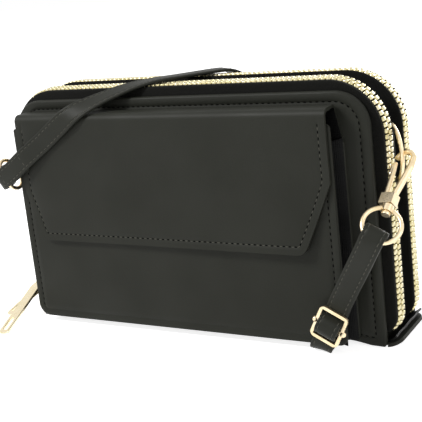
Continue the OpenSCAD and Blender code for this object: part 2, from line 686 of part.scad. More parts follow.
// The length of strap between two points of its line
module strap_piece(first, last) color(leather) {
    end = (last - first) * sides;
    polyhedron([for (i = [first:last]) each ring(line, line_faces, i)], concat([[for (j = [0:sides - 1])
        j]],
        [for (i = [0:last - first - 1]) for (j = [0:sides - 1]) let (a = i * sides, b = a + sides,
            k = (j + 1) % sides)
            each [[a + j, b + j, b + k], [a + j, b + k, a + k]]],
        [[for (j = [sides - 1:-1:0]) end + j]]));
}

// The strap's left end: a tail folded back round the left eye's wire
left_end = [[-80.5, -33.5, 85.4], [-84, -33.5, 83], [-89, -33.6, 79.7], [-92.6, -33.6, 78.2], [-93.8,
    -31.9, 77.6],
    [-94.5, -30, 77.3], [-96.1, -29.4, 76.2], [-97.6, -30.7, 75], [-97.9, -33, 74.8], [-96.8, -34.8, 75.4],
    [-94, -35.3, 76.7], [-88, -35.4, 80], [-80, -35.2, 85.6]];
left_end_faces = [[0.57, 0, -0.82], [0.57, 0, -0.82], [0.57, 0, -0.82], [0.55, 0.04, -0.83], [0.47, 0.12,
    -0.87],
    [0.45, 0.15, -0.88], [0.45, 0.15, -0.88], [0.45, 0.15, -0.88], [0.45, 0.15, -0.88], [0.45, 0.15, -0.88],
    [0.5, 0.08, -0.86], [0.57, 0, -0.82], [0.57, 0, -0.82]];
// Left run: from there up across the front and over the top edge to the back
left_run = [[-74, -34.3, 89.7], [-67, -33.6, 94.4], [-58, -33.5, 100.6], [-51, -33.7, 105.3], [-46.5,
    -32.4, 108.9],
    [-38, -25.6, 112.3], [-30, -20, 115], [-22, -14.6, 117.5], [-14, -9.4, 118.4], [-6.5, -3.2, 118.4],
    [0, 4.2, 118.4], [5, 11, 118.4], [8.4, 15.8, 118.1], [11.5, 20.6, 115.6]];
left_run_faces = [[0.57, 0, -0.82], [0.57, 0, -0.82], [0.57, 0, -0.82], [0.57, -0.08, -0.82], [0.57, -0.5,
    -0.65],
    [0.57, -0.74, -0.35], [0.57, -0.74, -0.35], [0.57, -0.8, -0.15], [0.59, -0.81, 0], [0.69, -0.72, 0],
    [0.77, -0.64, 0], [0.81, -0.59, 0], [0.84, -0.54, 0], [0.86, -0.5, 0.08]];
// Behind the bag: down to the inner strand of the roll
back_fall = [[14.5, 25.6, 110], [18.6, 29.6, 101.5], [26, 32, 87], [34.5, 33.3, 68], [42, 34, 49], [48.5,
    36, 32],
    [52.6, 39.5, 19], [56.6, 46, 10], [60.2, 55, 6], [62.4, 64, 5.3]];
back_fall_faces = [[0.87, -0.42, 0.26], [0.88, -0.28, 0.38], [0.89, -0.12, 0.44], [0.91, -0.03, 0.41],
    [0.93, 0, 0.37],
    [0.93, 0, 0.36], [0.87, 0, 0.49], [0.66, 0, 0.75], [0.3, 0, 0.95], [0, 0, 1]];

// The rest of the strap, doubled and rolled up from its bight, stands on edge behind the bag
roll_at = [32.7, 72, 5.2];
roll_step = 30;
roll_end = coil_turns * 360;
function roll_point(a, r) = roll_at + (r + 2 * coil_pitch * a / 360) * [cos(a), -sin(a), 0];
bight_r = coil_pitch / 2;
bight_angles = [150, 90, 30];
strand_step = 7;
roll_line = concat([for (a = [roll_end:-roll_step:0]) roll_point(a, coil_start_r)],
    [for (a = bight_angles) roll_at + [coil_start_r + bight_r + bight_r * cos(a), bight_r * sin(a), 0]],
    [for (a = [0:roll_step:roll_end]) roll_point(a, coil_start_r + coil_pitch)]);
roll_last = len(roll_line) - 1;
echo("least gap in the roll, mm", min([for (i = [0:roll_last]) for (k = [i + strand_step:1:roll_last])
    norm(roll_line[i] - roll_line[k])]) - strap_t);

// From the roll's outer strand under the base and up behind the slider buckle's lower bar
under_run = [[67.1, 62, 5.2], [67, 54, 5], [67, 48, 4.2], [67, 42, 2.6], [67, 35, 1.2], [67, 20, 0.95],
    [67, 0, 0.95], [67, -20, 0.95], [67, -26, 1], [67.4, -30.6, 1.8], [69, -33, 4.2], [71, -33.4, 8.1]];
under_run_faces = [[0, 0, 1], [0.35, 0, 0.94], [0.7, 0, 0.7], [0.94, 0, 0.3], [1, 0, 0], [1, 0, 0], [1, 0,
    0],
    [1, 0, 0], [1, 0, 0], [0.98, 0, -0.15], [0.92, 0, -0.38], [0.89, 0, -0.45]];
// Right run: over the buckle's middle bar, behind its upper bar, up to the right eye and round its wire
right_run = [[71.9, -33.7, 9.8], [72.3, -35.5, 10.6], [72.7, -37.6, 11.4], [73.5, -38.7, 12.9],
    [74.2, -38.9, 14.3], [74.9, -38.7, 15.7], [75.7, -37.6, 17.2], [76.1, -35.5, 18], [76.5, -33.7, 18.8],
    [77.4, -33.4, 20.5], [79.6, -33.6, 25], [84.9, -36.1, 33.5], [90.6, -38.9, 42.5], [96.5, -42, 51.8],
    [98.9, -42.9, 56], [100.2, -41.8, 58.4], [100.8, -40.4, 59.5], [100.7, -38.7, 59.5], [99.9, -37.5,
        58.3],
    [99, -37.6, 56.8]];
// The sewn end: from the right eye back down behind that run and round the buckle's middle bar
sewn_end = [[97.3, -39, 54], [95.4, -39.4, 50.6], [90.8, -37.1, 43], [85.1, -34.4, 34],
    [79.6, -31.8, 25], [77.4, -31.6, 20.5], [76, -31.8, 17.9], [75.2, -32.5, 16.3], [74.6, -33.1, 15.1],
    [74, -33.4, 13.9], [73.5, -34.2, 12.9], [73.4, -35.5, 12.7], [73.7, -36.6, 13.2], [74.2, -37.1, 14.3],
    [74.8, -36.6, 15.5], [75, -35.4, 15.9]];
right_width = [0.89, 0, -0.45];

// The strap's whole line, and where one length of it ends and the next begins
steps = 3;
left_route = concat(left_end, left_run, back_fall, [roll_line[0]]);
left_faces = concat(left_end_faces, left_run_faces, back_fall_faces, [[0, 0, 1]]);
right_route = concat([roll_line[roll_last]], under_run, right_run, sewn_end);
right_faces = concat([[0, 0, 1]], under_run_faces, [for (p = right_run) right_width], [for (p = sewn_end)
    right_width]);
line = concat(smooth_line(left_route, steps), [for (i = [1:roll_last - 1]) roll_line[i]],
    smooth_line(right_route, steps));
line_faces = concat(smooth_line(left_faces, steps), [for (i = [1:roll_last - 1]) [0, 0, 1]],
    smooth_line(right_faces, steps));
cut_end = steps * (len(left_end) - 1);
cut_top = cut_end + steps * len(left_run);
cut_roll = cut_top + steps * (len(back_fall) + 1);
cut_under = cut_roll + roll_last;
cut_right = cut_under + steps * len(under_run);
cut_sewn = cut_right + steps * len(right_run);
cut_last = cut_sewn + steps * len(sewn_end);
module strap_left_end() strap_piece(0, cut_end);
module strap_left_run() strap_piece(cut_end, cut_top);
module strap_back_fall() strap_piece(cut_top, cut_roll);
module strap_roll() strap_piece(cut_roll, cut_under);
module strap_under_run() strap_piece(cut_under, cut_right);
module strap_right_run() strap_piece(cut_right, cut_sewn);
module strap_sewn_end() strap_piece(cut_sewn, cut_last);

// Slider buckle: a flat frame with a middle bar. Own frame: x across the strap, y along it
buckle_in_w = buckle_w - 2 * buckle_bar;
module buckle_window(low) translate([-buckle_in_w / 2, low, -buckle_bar])
    cube([buckle_in_w, (buckle_l - 3 * buckle_bar) / 2, 2 * buckle_bar]);
module buckle_plan() {
    r = buckle_r;
    square([buckle_w - 2 * r, buckle_l], center = true);
    square([buckle_w, buckle_l - 2 * r], center = true);
    for (x = [-1, 1]) for (y = [-1, 1])
        translate([x * (buckle_w / 2 - r), y * (buckle_l / 2 - r)]) circle(r, $fn = 24);
}
module buckle() {
    difference() {
        translate([0, 0, -buckle_bar / 2]) linear_extrude(buckle_bar) buckle_plan();
        buckle_window(-buckle_l / 2 + buckle_bar);
        buckle_window(buckle_bar / 2);
    }
    for (side = [-1, 1]) translate([side * buckle_w / 2, 0, 0]) sphere(buckle_knob_r, $fn = 24);
}
buckle_lean = 27;
buckle_at = [74.2, -35.2, 14.3];
module slider_buckle() color(rose_gold) translate(buckle_at) rotate([90, buckle_lean, 0]) buckle();

center_divider();
divider_band();
card_slots();
base_panel();
front_board();
back_board();
outer_tape(false);  // front_zip_outer_tape
inner_tape(false);  // front_zip_inner_tape
outer_tape(true);  // back_zip_outer_tape
inner_tape(true);  // back_zip_inner_tape
teeth(false, false);  // front_zip_outer_teeth
teeth(false, true);  // front_zip_inner_teeth
teeth(true, false);  // back_zip_outer_teeth
teeth(true, true);  // back_zip_inner_teeth
zip_end_stops();
front_slider();
back_slider();
front_pull_link();
back_pull_link();
front_pull();
back_pull();
pocket_rear_panel();
pocket_gusset();
pocket_front_panel();
flap_tail();
flap_bridge();
flap_front();
flap_magnet();
pocket_magnet();
ring_tab_right();
ring_tab_left();
d_ring_right();
d_ring_left();
hook_body_right();
hook_body_left();
hook_gate_right();
hook_gate_left();
eye_ring_right();
eye_ring_left();
slider_buckle();
strap_left_end();
strap_left_run();
strap_back_fall();
strap_roll();
strap_under_run();
strap_right_run();
strap_sewn_end();
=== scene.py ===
# %% [markdown]
# # A phone pouch with two zips, a flap pocket and a crossbody strap
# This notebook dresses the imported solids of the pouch. The solids give the sizes and the joints;
# here each piece gets its soft shape, its seams and its finish. Lengths are written in
# millimetres and turned into metres once, when a mesh gets its points.

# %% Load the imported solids
import math

import bmesh
import bpy
import numpy as np
from mathutils import Matrix, Vector


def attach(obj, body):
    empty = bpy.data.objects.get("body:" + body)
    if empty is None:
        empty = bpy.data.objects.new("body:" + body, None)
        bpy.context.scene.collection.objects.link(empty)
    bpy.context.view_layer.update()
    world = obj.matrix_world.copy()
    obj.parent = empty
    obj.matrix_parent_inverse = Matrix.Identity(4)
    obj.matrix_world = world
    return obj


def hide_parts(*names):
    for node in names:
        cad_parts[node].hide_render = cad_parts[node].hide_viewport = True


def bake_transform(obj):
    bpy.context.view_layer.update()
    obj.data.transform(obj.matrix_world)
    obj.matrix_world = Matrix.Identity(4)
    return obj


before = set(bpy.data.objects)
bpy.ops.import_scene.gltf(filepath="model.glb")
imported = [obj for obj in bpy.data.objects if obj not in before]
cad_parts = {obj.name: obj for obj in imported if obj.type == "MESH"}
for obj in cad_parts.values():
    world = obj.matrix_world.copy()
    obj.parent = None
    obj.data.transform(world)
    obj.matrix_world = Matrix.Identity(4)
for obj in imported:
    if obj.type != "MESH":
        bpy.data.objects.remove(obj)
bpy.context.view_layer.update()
MM, MM_PER_CM = 0.001, 10

# %% [markdown]
# ## The camera
# The photographer stood in front of the pouch, a little to its right and above it, with a long
# lens. The camera's three axes were worked out from the straight edges of the boards, so they are
# written here as they are: where right, up and back point in the pouch's own frame.

# %% Camera
camera_data = bpy.data.cameras.new("camera")
camera = bpy.data.objects.new("camera", camera_data)
bpy.context.scene.collection.objects.link(camera)
bpy.context.scene.camera = camera
camera_axes = [(0.8621, 0.4931, -0.1166), (-0.0282, 0.2764, 0.9606), (0.5059, -0.8249, 0.2522)]
camera_place = Matrix.Translation((0.2417, -0.3940, 0.1755))
camera.matrix_world = camera_place @ Matrix(camera_axes).transposed().to_4x4()
camera_data.sensor_width = 36
camera_data.lens = 84.88
camera_data.shift_x = 0.0070
camera_data.shift_y = -0.0115
camera_data.clip_start = 0.01
print("camera", [round(c, 3) for c in camera.location])

# %% [markdown]
# ## Helpers for meshes
# Most leather pieces start from one of two primitives. A flat cut piece starts as a disc whose
# points are moved to the pattern's rounded edge; it is cut into cells and extruded, and its faces
# are moved to their depths. A strip or a bent sheet starts as a grid whose rows are laid along a
# path, and gets its thickness and soft edges from modifiers.

# %% Small mesh helpers
def deselect():
    if bpy.context.object and bpy.context.object.mode != "OBJECT":
        bpy.ops.object.mode_set(mode="OBJECT")
    bpy.ops.object.select_all(action="DESELECT")


def only(piece):
    deselect()
    piece.select_set(True)
    bpy.context.view_layer.objects.active = piece
    return piece


def edit(piece):
    """Opens a piece for editing, with all of it selected."""
    only(piece)
    bpy.ops.object.mode_set(mode="EDIT")
    bpy.ops.mesh.select_all(action="SELECT")


def slice_at(place, way):
    """Cuts the faces of the open piece that a plane meets."""
    bpy.ops.mesh.select_all(action="SELECT")
    bpy.ops.mesh.bisect(plane_co=place, plane_no=way)


def close(piece):
    bpy.ops.object.mode_set(mode="OBJECT")
    return piece


def named(name):
    piece = bpy.context.object
    piece.name = name
    piece.data.name = name
    return piece


def modify(piece, kind, **settings):
    only(piece)
    step = piece.modifiers.new(kind.lower(), kind)
    for key, value in settings.items():
        setattr(step, key, value)
    bpy.ops.object.modifier_apply(modifier=step.name)
    return piece


def smooth(piece, degrees=35):
    only(piece)
    bpy.ops.object.shade_smooth_by_angle(angle=math.radians(degrees))
    return piece


def points_of(piece):
    co = np.empty(len(piece.data.vertices) * 3)
    piece.data.vertices.foreach_get("co", co)
    return co.reshape(-1, 3) / MM


def put_points(piece, points):
    piece.data.vertices.foreach_set("co", (np.asarray(points) * MM).ravel())
    piece.data.update()
    return piece


def outward(piece):
    edit(piece)
    bpy.ops.mesh.normals_make_consistent(inside=False)
    return close(piece)


def soften(piece, width, segments, degrees):
    """Rounds the edges that turn by more than that angle."""
    return modify(piece, "BEVEL", width=width * MM, segments=segments, limit_method="ANGLE",
                  angle_limit=math.radians(degrees))


def thicken(piece, thickness, edge=0, side=-1, faces=()):
    """Leather or cloth of that thickness, behind the drawn face or to both sides of it.

    edge rounds its edges, and faces are the finishes of its front and its back.
    """
    for material in faces:
        piece.data.materials.append(material)
    modify(piece, "SOLIDIFY", thickness=thickness * MM, offset=side, material_offset=1)
    if edge:
        soften(piece, edge, 3, 50)
    return smooth(piece)


def pick_faces(piece, wanted):
    """Opens a piece with only those faces selected whose normal is wanted."""
    edit(piece)
    mesh = bmesh.from_edit_mesh(piece.data)
    for f in mesh.faces:
        f.select = wanted(f.normal)
    mesh.select_flush_mode()
    bmesh.update_edit_mesh(piece.data)


def columns(*values):
    """Coordinates, each one number or many, as rows of points."""
    return np.stack(np.broadcast_arrays(*values), axis=-1)


def lengths(line):
    """The length along a line at each of its points."""
    return np.concatenate([[0], np.cumsum(np.linalg.norm(np.diff(line, axis=0), axis=1))])


# %% A sheet laid along rows of points
def laid(name, rows, closed=False, flip=False):
    """A grid whose vertices are put at rows[i][j]; its UV map holds real lengths in centimetres."""
    rows = np.asarray(rows, float)
    n, m = rows.shape[:2]
    deselect()
    bpy.ops.mesh.primitive_grid_add(x_subdivisions=n - 1, y_subdivisions=m - 1, size=1)
    piece = named(name)
    at = points_of(piece) * MM + 0.5
    i = np.rint(at[:, 0] * (n - 1)).astype(int)
    j = np.rint(at[:, 1] * (m - 1)).astype(int)
    put_points(piece, rows[i, j])
    along, across = lengths(rows[:, m // 2]) / MM_PER_CM, lengths(rows[n // 2]) / MM_PER_CM
    loops = np.empty(len(piece.data.loops), int)
    piece.data.loops.foreach_get("vertex_index", loops)
    uv = np.stack([along[i[loops]], across[j[loops]]], axis=1)
    piece.data.uv_layers.active.data.foreach_set("uv", uv.ravel())
    if closed:
        edit(piece)
        bpy.ops.mesh.remove_doubles(threshold=0.002 * MM)
        bpy.ops.mesh.select_all(action="DESELECT")
        bpy.ops.mesh.select_non_manifold()
        bpy.ops.mesh.edge_face_add()
        outward(close(piece))
    elif flip:
        edit(piece)
        bpy.ops.mesh.flip_normals()
        close(piece)
    return smooth(piece)


# %% A flat piece cut to a pattern
def ways(corners):
    """Each corner, the directions of the edges before and after it, and how far it turns."""
    for a, b, c in zip(corners[-1:] + corners[:-1], corners, corners[1:] + corners[:1]):
        d1, d2 = (b - a) / np.linalg.norm(b - a), (c - b) / np.linalg.norm(c - b)
        yield b, d1, d2, math.atan2(d1[0] * d2[1] - d1[1] * d2[0], d1 @ d2)


def inward(way):
    """The direction into a pattern from an edge."""
    return np.array([-way[1], way[0]])


def arc_centre(corner, before, turn, r):
    return corner - before * r * math.tan(abs(turn) / 2) + inward(before) * r


def four_corners(left, right, low, high):
    return [(left, low), (right, low), (right, high), (left, high)]


class Pattern:
    """The edge of a flat piece: corners in order from lower left, and their radii."""
    def __init__(self, corners, radii):
        self.corners, self.radii = [np.array(c, float) for c in corners], radii

    def rounded(self, inset):
        """The edge moved in by inset, each corner an arc of nine points."""
        shifted, line = [], []
        for corner, before, after, _ in ways(self.corners):
            n1, n2 = inward(before), inward(after)
            shifted.append(corner + (n1 + n2) / (1 + n1 @ n2) * inset)
        for (corner, before, _, turn), radius in zip(ways(shifted), self.radii):
            r = max(radius - inset, 0.6)
            centre = arc_centre(corner, before, turn, r)
            for angle in np.linspace(0, turn, 9) + math.atan2(-before[0], before[1]):
                line.append(centre + r * np.array([math.cos(angle), math.sin(angle)]))
        return np.array(line)

    def outline(self, inset):
        """Points 1 mm apart round the edge, moved in by inset, as the needle goes."""
        line = self.rounded(inset)
        line = np.concatenate([line, line[:1]])
        at = lengths(line)
        marks = np.linspace(0, at[-1], int(round(at[-1])) + 1)
        return columns(*[np.interp(marks, at, line[:, k]) for k in (0, 1)])

    def inside(self, x, z):
        """How far a point lies inside the edge."""
        x, z = np.asarray(x, float), np.asarray(z, float)
        away = np.full(x.shape, 1e9)
        for corner, _, after, _ in ways(self.corners):
            away = np.minimum(away, (z - corner[1]) * after[0] - (x - corner[0]) * after[1])
        for (corner, before, after, turn), r in zip(ways(self.corners), self.radii):
            if r >= 3:
                dx, dz = [at - c for at, c in zip((x, z), arc_centre(corner, before, turn, r))]
                in_corner = (dx * before[0] + dz * before[1] > 0) & (dx * after[0] + dz * after[1] < 0)
                away = np.where(in_corner, r - np.hypot(dx, dz), away)
        return away

    def rolled(self, x, z, r):
        """How far an edge rounded with radius r has fallen back at a point."""
        near = np.clip(r - self.inside(x, z), 0, r)
        return r - np.sqrt(np.clip(r * r - near ** 2, 0, None))

    def cut(self, name, insets, cell):
        """A slab in the XZ plane, its front at y 0 and its back at y 1.

        Insets make rings of faces along its edge, and the faces are cut into cells.
        """
        rings = [np.insert(self.rounded(away), 1, 0, axis=1) for away in np.cumsum([0, *insets])]
        deselect()
        bpy.ops.mesh.primitive_circle_add(vertices=len(rings[0]), radius=1, fill_type="NGON")
        piece = put_points(named(name), rings[0])
        edit(piece)
        for before, after in zip(rings, rings[1:]):
            bpy.ops.mesh.inset(thickness=0.01 * MM, depth=0)
            mesh = bmesh.from_edit_mesh(piece.data)
            for v in next(f for f in mesh.faces if f.select).verts:
                v.co = after[np.argmin(np.linalg.norm(before - np.array(v.co) / MM, axis=1))] * MM
            bmesh.update_edit_mesh(piece.data)
        low, high = np.min(self.corners, axis=0), np.max(self.corners, axis=0)
        for axis, way in enumerate(np.array([(1, 0, 0), (0, 0, 1)])):
            count = max(1, round((high[axis] - low[axis]) / cell))
            for k in range(1, count):
                at = low[axis] + (high[axis] - low[axis]) * (k + 0.013) / count
                slice_at(way * at * MM, way)
        bpy.ops.mesh.select_all(action="SELECT")
        bpy.ops.mesh.extrude_region_move(TRANSFORM_OT_translate={"value": (0, MM, 0)})
        return outward(close(piece))


def shape_slab(piece, front, back, lift=None):
    """Moves the points of a slab's two faces to front(x, z) and back(x, z) along Y."""
    at = points_of(piece)
    x, y, z = at.T.copy()
    at[:, 1] = np.where(y < 0.5, front(x, z), back(x, z))
    if lift:
        at[:, 2] += lift(x, z)
    return smooth(put_points(piece, at))


# %% Many copies of one small piece
def copies(name, pattern, places):
    """One mesh that holds the pattern once at each place.

    A place is four columns in mm: three axes and a point.
    """
    body = points_of(pattern)
    faces = [tuple(p.vertices) for p in pattern.data.polygons]
    places = np.asarray(places, float)
    points = np.einsum("kij,nj->kni", places[:, :, :3], body) + places[:, None, :, 3]
    total = len(body)
    mesh = bpy.data.meshes.new(name)
    mesh.from_pydata((points * MM).reshape(-1, 3).tolist(), [],
                     [tuple(v + k * total for v in f) for k in range(len(places)) for f in faces])
    piece = bpy.data.objects.new(name, mesh)
    bpy.context.scene.collection.objects.link(piece)
    bpy.data.objects.remove(pattern)
    return smooth(piece, 50)


def cylinder(name, sides, radius, depth, turn, place=(0, 0, 0)):
    deselect()
    bpy.ops.mesh.primitive_cylinder_add(vertices=sides, radius=radius, depth=depth, rotation=turn,
                                        location=place)
    piece = only(named(name))
    bpy.ops.object.transform_apply(location=True, rotation=True, scale=True)
    return piece


def stitch(length, radius, height):
    """One thread stitch along X: a fat middle, and two ends that dive into the leather."""
    piece = cylinder("stitch_pattern", 6, 1, 1, (0, math.pi / 2, 0))
    edit(piece)
    for x in (-0.3, 0, 0.3):
        slice_at((x, 0, 0), (1, 0, 0))
    at = points_of(close(piece)) * MM
    far = np.abs(at[:, 0]) * 2
    tip, shoulder = far > 0.9, far > 0.5
    fat = np.where(tip, 0.45, np.where(shoulder, 0.9, 1.0))
    sink = np.where(tip, -1.3, np.where(shoulder, -0.1, 0.25))
    at[:, 1] *= radius * fat
    at[:, 2] = (at[:, 2] * fat + sink) * radius * height
    at[:, 0] *= length
    return put_points(piece, at)


def seam(name, lines, pitch=2.8, length=2.05, radius=0.21, phase=0.5, height=1.0):
    """Stitches along each line; a line is its points and their normals, or one normal for all."""
    places = []
    for line, normals in lines:
        at, normals = lengths(line), np.broadcast_to(normals, line.shape)
        count = max(1, int(at[-1] / pitch))

        def there(s, values):
            return np.array([np.interp(s, at, values[:, c]) for c in range(3)])

        for k in range(count):
            mid = (k + phase) * at[-1] / count
            p, q, r = [there(mid + s, line) for s in (-length / 2, 0, length / 2)]
            up = there(mid, normals)
            along = (r - p) / max(np.linalg.norm(r - p), 1e-9)
            up = up - along * (up @ along)
            up /= np.linalg.norm(up)
            places.append(np.stack([along, np.cross(up, along), up, q], axis=1))
    return copies(name, stitch(length, radius, height), places)


print("helpers ready")

# %% [markdown]
# ## The strap
# The strap is the pouch's one free cord: a flat band of folded leather, 10 mm wide, with a row of
# stitches near each edge. It runs from the left ring across the front and over the top, down
# behind the pouch, where its spare length is rolled up, and back under the base to the buckle and
# the right ring. The same route points as in the solids are laid here again.

# %% Route of the strap
left_end = [(-80.5, -33.5, 85.4), (-84, -33.5, 83), (-89, -33.6, 79.7), (-92.6, -33.6, 78.2),
            (-93.8, -31.9, 77.6), (-94.5, -30, 77.3), (-96.1, -29.4, 76.2), (-97.6, -30.7, 75),
            (-97.9, -33, 74.8), (-96.8, -34.8, 75.4), (-94, -35.3, 76.7), (-88, -35.4, 80),
            (-80, -35.2, 85.6)]
left_end_faces = [(0.57, 0, -0.82)] * 3 + [(0.55, 0.04, -0.83), (0.47, 0.12, -0.87)] \
    + [(0.45, 0.15, -0.88)] * 5 + [(0.5, 0.08, -0.86)] + [(0.57, 0, -0.82)] * 2
left_run = [(-74, -34.3, 89.7), (-67, -33.6, 94.4), (-58, -33.5, 100.6), (-51, -33.7, 105.3),
            (-46.5, -32.4, 108.9), (-38, -25.6, 112.3), (-30, -20, 115), (-22, -14.6, 117.5),
            (-14, -9.4, 118.4), (-6.5, -3.2, 118.4), (0, 4.2, 118.4), (5, 11, 118.4),
            (8.4, 15.8, 118.1), (11.5, 20.6, 115.6)]
left_run_faces = [(0.57, 0, -0.82)] * 3 + [(0.57, -0.08, -0.82), (0.57, -0.5, -0.65)] \
    + [(0.57, -0.74, -0.35)] * 2 + [(0.57, -0.8, -0.15), (0.59, -0.81, 0), (0.69, -0.72, 0),
                                    (0.77, -0.64, 0), (0.81, -0.59, 0), (0.84, -0.54, 0),
                                    (0.86, -0.5, 0.08)]
back_fall = [(14.5, 25.6, 110), (18.6, 29.6, 101.5), (26, 32, 87), (34.5, 33.3, 68), (42, 34, 49),
             (48.5, 36, 32), (52.6, 39.5, 19), (56.6, 46, 10), (60.2, 55, 6), (62.4, 64, 5.3)]
back_fall_faces = [(0.87, -0.42, 0.26), (0.88, -0.28, 0.38), (0.89, -0.12, 0.44),
                   (0.91, -0.03, 0.41), (0.93, 0, 0.37), (0.93, 0, 0.36), (0.87, 0, 0.49),
                   (0.66, 0, 0.75), (0.3, 0, 0.95), (0, 0, 1)]
under_run = [(67.1, 62, 5.2), (67, 54, 5), (67, 48, 4.2), (67, 42, 2.6), (67, 35, 1.2), (67, 20, 0.95),
             (67, 0, 0.95), (67, -20, 0.95), (67, -26, 1), (67.4, -30.6, 1.8), (69, -33, 4.2),
             (71, -33.4, 8.1)]
under_run_faces = [(0, 0, 1), (0.35, 0, 0.94), (0.7, 0, 0.7), (0.94, 0, 0.3)] + [(1, 0, 0)] * 5 \
    + [(0.98, 0, -0.15), (0.92, 0, -0.38), (0.89, 0, -0.45)]
right_run = [(71.9, -33.7, 9.8), (72.3, -35.5, 10.6), (72.7, -37.6, 11.4), (73.5, -38.7, 12.9),
             (74.2, -38.9, 14.3), (74.9, -38.7, 15.7), (75.7, -37.6, 17.2), (76.1, -35.5, 18),
             (76.5, -33.7, 18.8), (77.4, -33.4, 20.5), (79.6, -33.6, 25), (84.9, -36.1, 33.5),
             (90.6, -38.9, 42.5), (96.5, -42, 51.8), (98.9, -42.9, 56), (100.2, -41.8, 58.4),
             (100.8, -40.4, 59.5), (100.7, -38.7, 59.5), (99.9, -37.5, 58.3), (99, -37.6, 56.8)]
sewn_end = [(97.3, -39, 54), (95.4, -39.4, 50.6), (90.8, -37.1, 43), (85.1, -34.4, 34),
            (79.6, -31.8, 25), (77.4, -31.6, 20.5), (76, -31.8, 17.9), (75.2, -32.5, 16.3),
            (74.6, -33.1, 15.1), (74, -33.4, 13.9), (73.5, -34.2, 12.9), (73.4, -35.5, 12.7),
            (73.7, -36.6, 13.2), (74.2, -37.1, 14.3), (74.8, -36.6, 15.5), (75, -35.4, 15.9)]
right_faces = [(0.89, 0, -0.45)] * (len(right_run) + len(sewn_end))
roll_at, roll_start, roll_pitch, roll_turns = np.array([32.7, 72, 5.2]), 5, 4.2, 3


def roll_point(degrees, radius):
    """A point of one strand of the roll; the two strands lie one pitch apart."""
    a = math.radians(degrees)
    reach = radius + 2 * roll_pitch * degrees / 360
    return roll_at + reach * np.array([math.cos(a), -math.sin(a), 0])


roll_step, fold_r = 10, roll_pitch / 2
roll = [roll_point(a, roll_start) for a in range(roll_turns * 360, -1, -roll_step)]
roll += [roll_at + np.array([roll_start + fold_r * (1 + math.cos(a)), fold_r * math.sin(a), 0])
         for a in map(math.radians, (150, 120, 90, 60, 30))]
roll += [roll_point(a, roll_start + roll_pitch) for a in range(0, roll_turns * 360 + 1, roll_step)]


def eased(points, n):
    """A smooth line through the points, n steps between each two, as in the solids."""
    p = np.array(points, float)
    p = np.concatenate([p[:1], p, p[-1:]])
    t = np.linspace(0, 1, n, endpoint=False)[:, None]
    rows = []
    for a, b, c, d in zip(p[:-3], p[1:-2], p[2:-1], p[3:]):
        rows.append(0.5 * (2 * b + (c - a) * t + (2 * a - 5 * b + 4 * c - d) * t * t
                           + (3 * b - a - 3 * c + d) * t ** 3))
    return np.concatenate([*rows, p[-1:]])


def relaxed(line, first, last, rounds):
    """The line with its kinks between two of its points smoothed away."""
    line = line.copy()
    for _ in range(rounds):
        before, after = line[first - 1:last - 1], line[first + 1:last + 1]
        line[first:last] = (before + 2 * line[first:last] + after) / 4
    return line


steps, rounds = 6, 40
bend_first = steps * (len(left_end) + 1)
bend_last = steps * (len(left_end) + len(left_run) - 2)
left_line = eased(left_end + left_run + back_fall + [tuple(roll[0])], steps)
left_line = relaxed(left_line, bend_first, bend_last, rounds)
left_width = eased(left_end_faces + left_run_faces + back_fall_faces + [(0, 0, 1)], steps)
left_width = relaxed(left_width, bend_first, bend_last, rounds)
right_line = eased([tuple(roll[-1])] + under_run + right_run + sewn_end, steps)
right_width = eased([(0, 0, 1)] + under_run_faces + right_faces, steps)
strap_line = np.concatenate([left_line, roll[1:-1], right_line])
strap_width = np.concatenate([left_width, [(0, 0, 1)] * (len(roll) - 2), right_width])


# %% Section of the strap, laid along the route
def frames(line, width):
    """Across and face directions at each point of a flat band's line."""
    ends = np.concatenate([line[:1], line, line[-1:]])
    along = ends[2:] - ends[:-2]
    along /= np.linalg.norm(along, axis=1)[:, None]
    face = np.cross(along, width)
    face /= np.linalg.norm(face, axis=1)[:, None]
    return np.cross(face, along), face


quarter = np.array([(0, 0.75), (1.4, 0.75), (2.5, 0.74), (3.1, 0.7), (3.35, 0.6), (3.5, 0.56),
                    (3.65, 0.6), (3.95, 0.69), (4.4, 0.7), (4.75, 0.62), (4.94, 0.42), (5, 0.15)])
section = np.concatenate([quarter, quarter[::-1] * (1, -1), quarter[1:] * (-1, -1),
                          quarter[::-1][:-1] * (-1, 1), quarter[:1]])
across, face = frames(strap_line, strap_width)
rows = strap_line[:, None] + section[None, :, :1] * across[:, None] \
    + section[None, :, 1:] * face[:, None]
strap = laid("strap", rows, closed=True)
row_x = 3.5
strap_rows = [(strap_line + across * side + face * front * 0.6, face * front)
              for side in (-row_x, row_x) for front in (1, -1)]
reach = np.linspace(-row_x, row_x, 8)[:, None]
for at in (steps * 10, steps * 12):
    for front in (1, -1):
        strap_rows.append((strap_line[at] + across[at] * reach + face[at] * front * 0.7,
                           face[at] * front))
strap_seam = seam("strap_seam", strap_rows, radius=0.2)
print("strap faces", len(strap.data.polygons), "stitches", len(strap_seam.data.polygons))

# %% [markdown]
# ## Finishes
# A finish is written as an expression. A small class wraps the output of a shader node, so that
# a sum of two values adds the Math node for it, and one method adds every other node.

# %% Values of a shader
class Value:
    """The output of a shader node; arithmetic on it adds Math nodes."""
    def __init__(self, finish, socket):
        self.finish, self.socket = finish, socket

    def math(self, kind, *others):
        node = self.finish.tree.nodes.new("ShaderNodeMath")
        node.operation = kind
        for slot, value in zip(node.inputs, (self, *others)):
            self.finish.feed(slot, value)
        return Value(self.finish, node.outputs[0])

    def __add__(self, other): return self.math("ADD", other)
    def __mul__(self, other): return self.math("MULTIPLY", other)
    __radd__, __rmul__ = __add__, __mul__


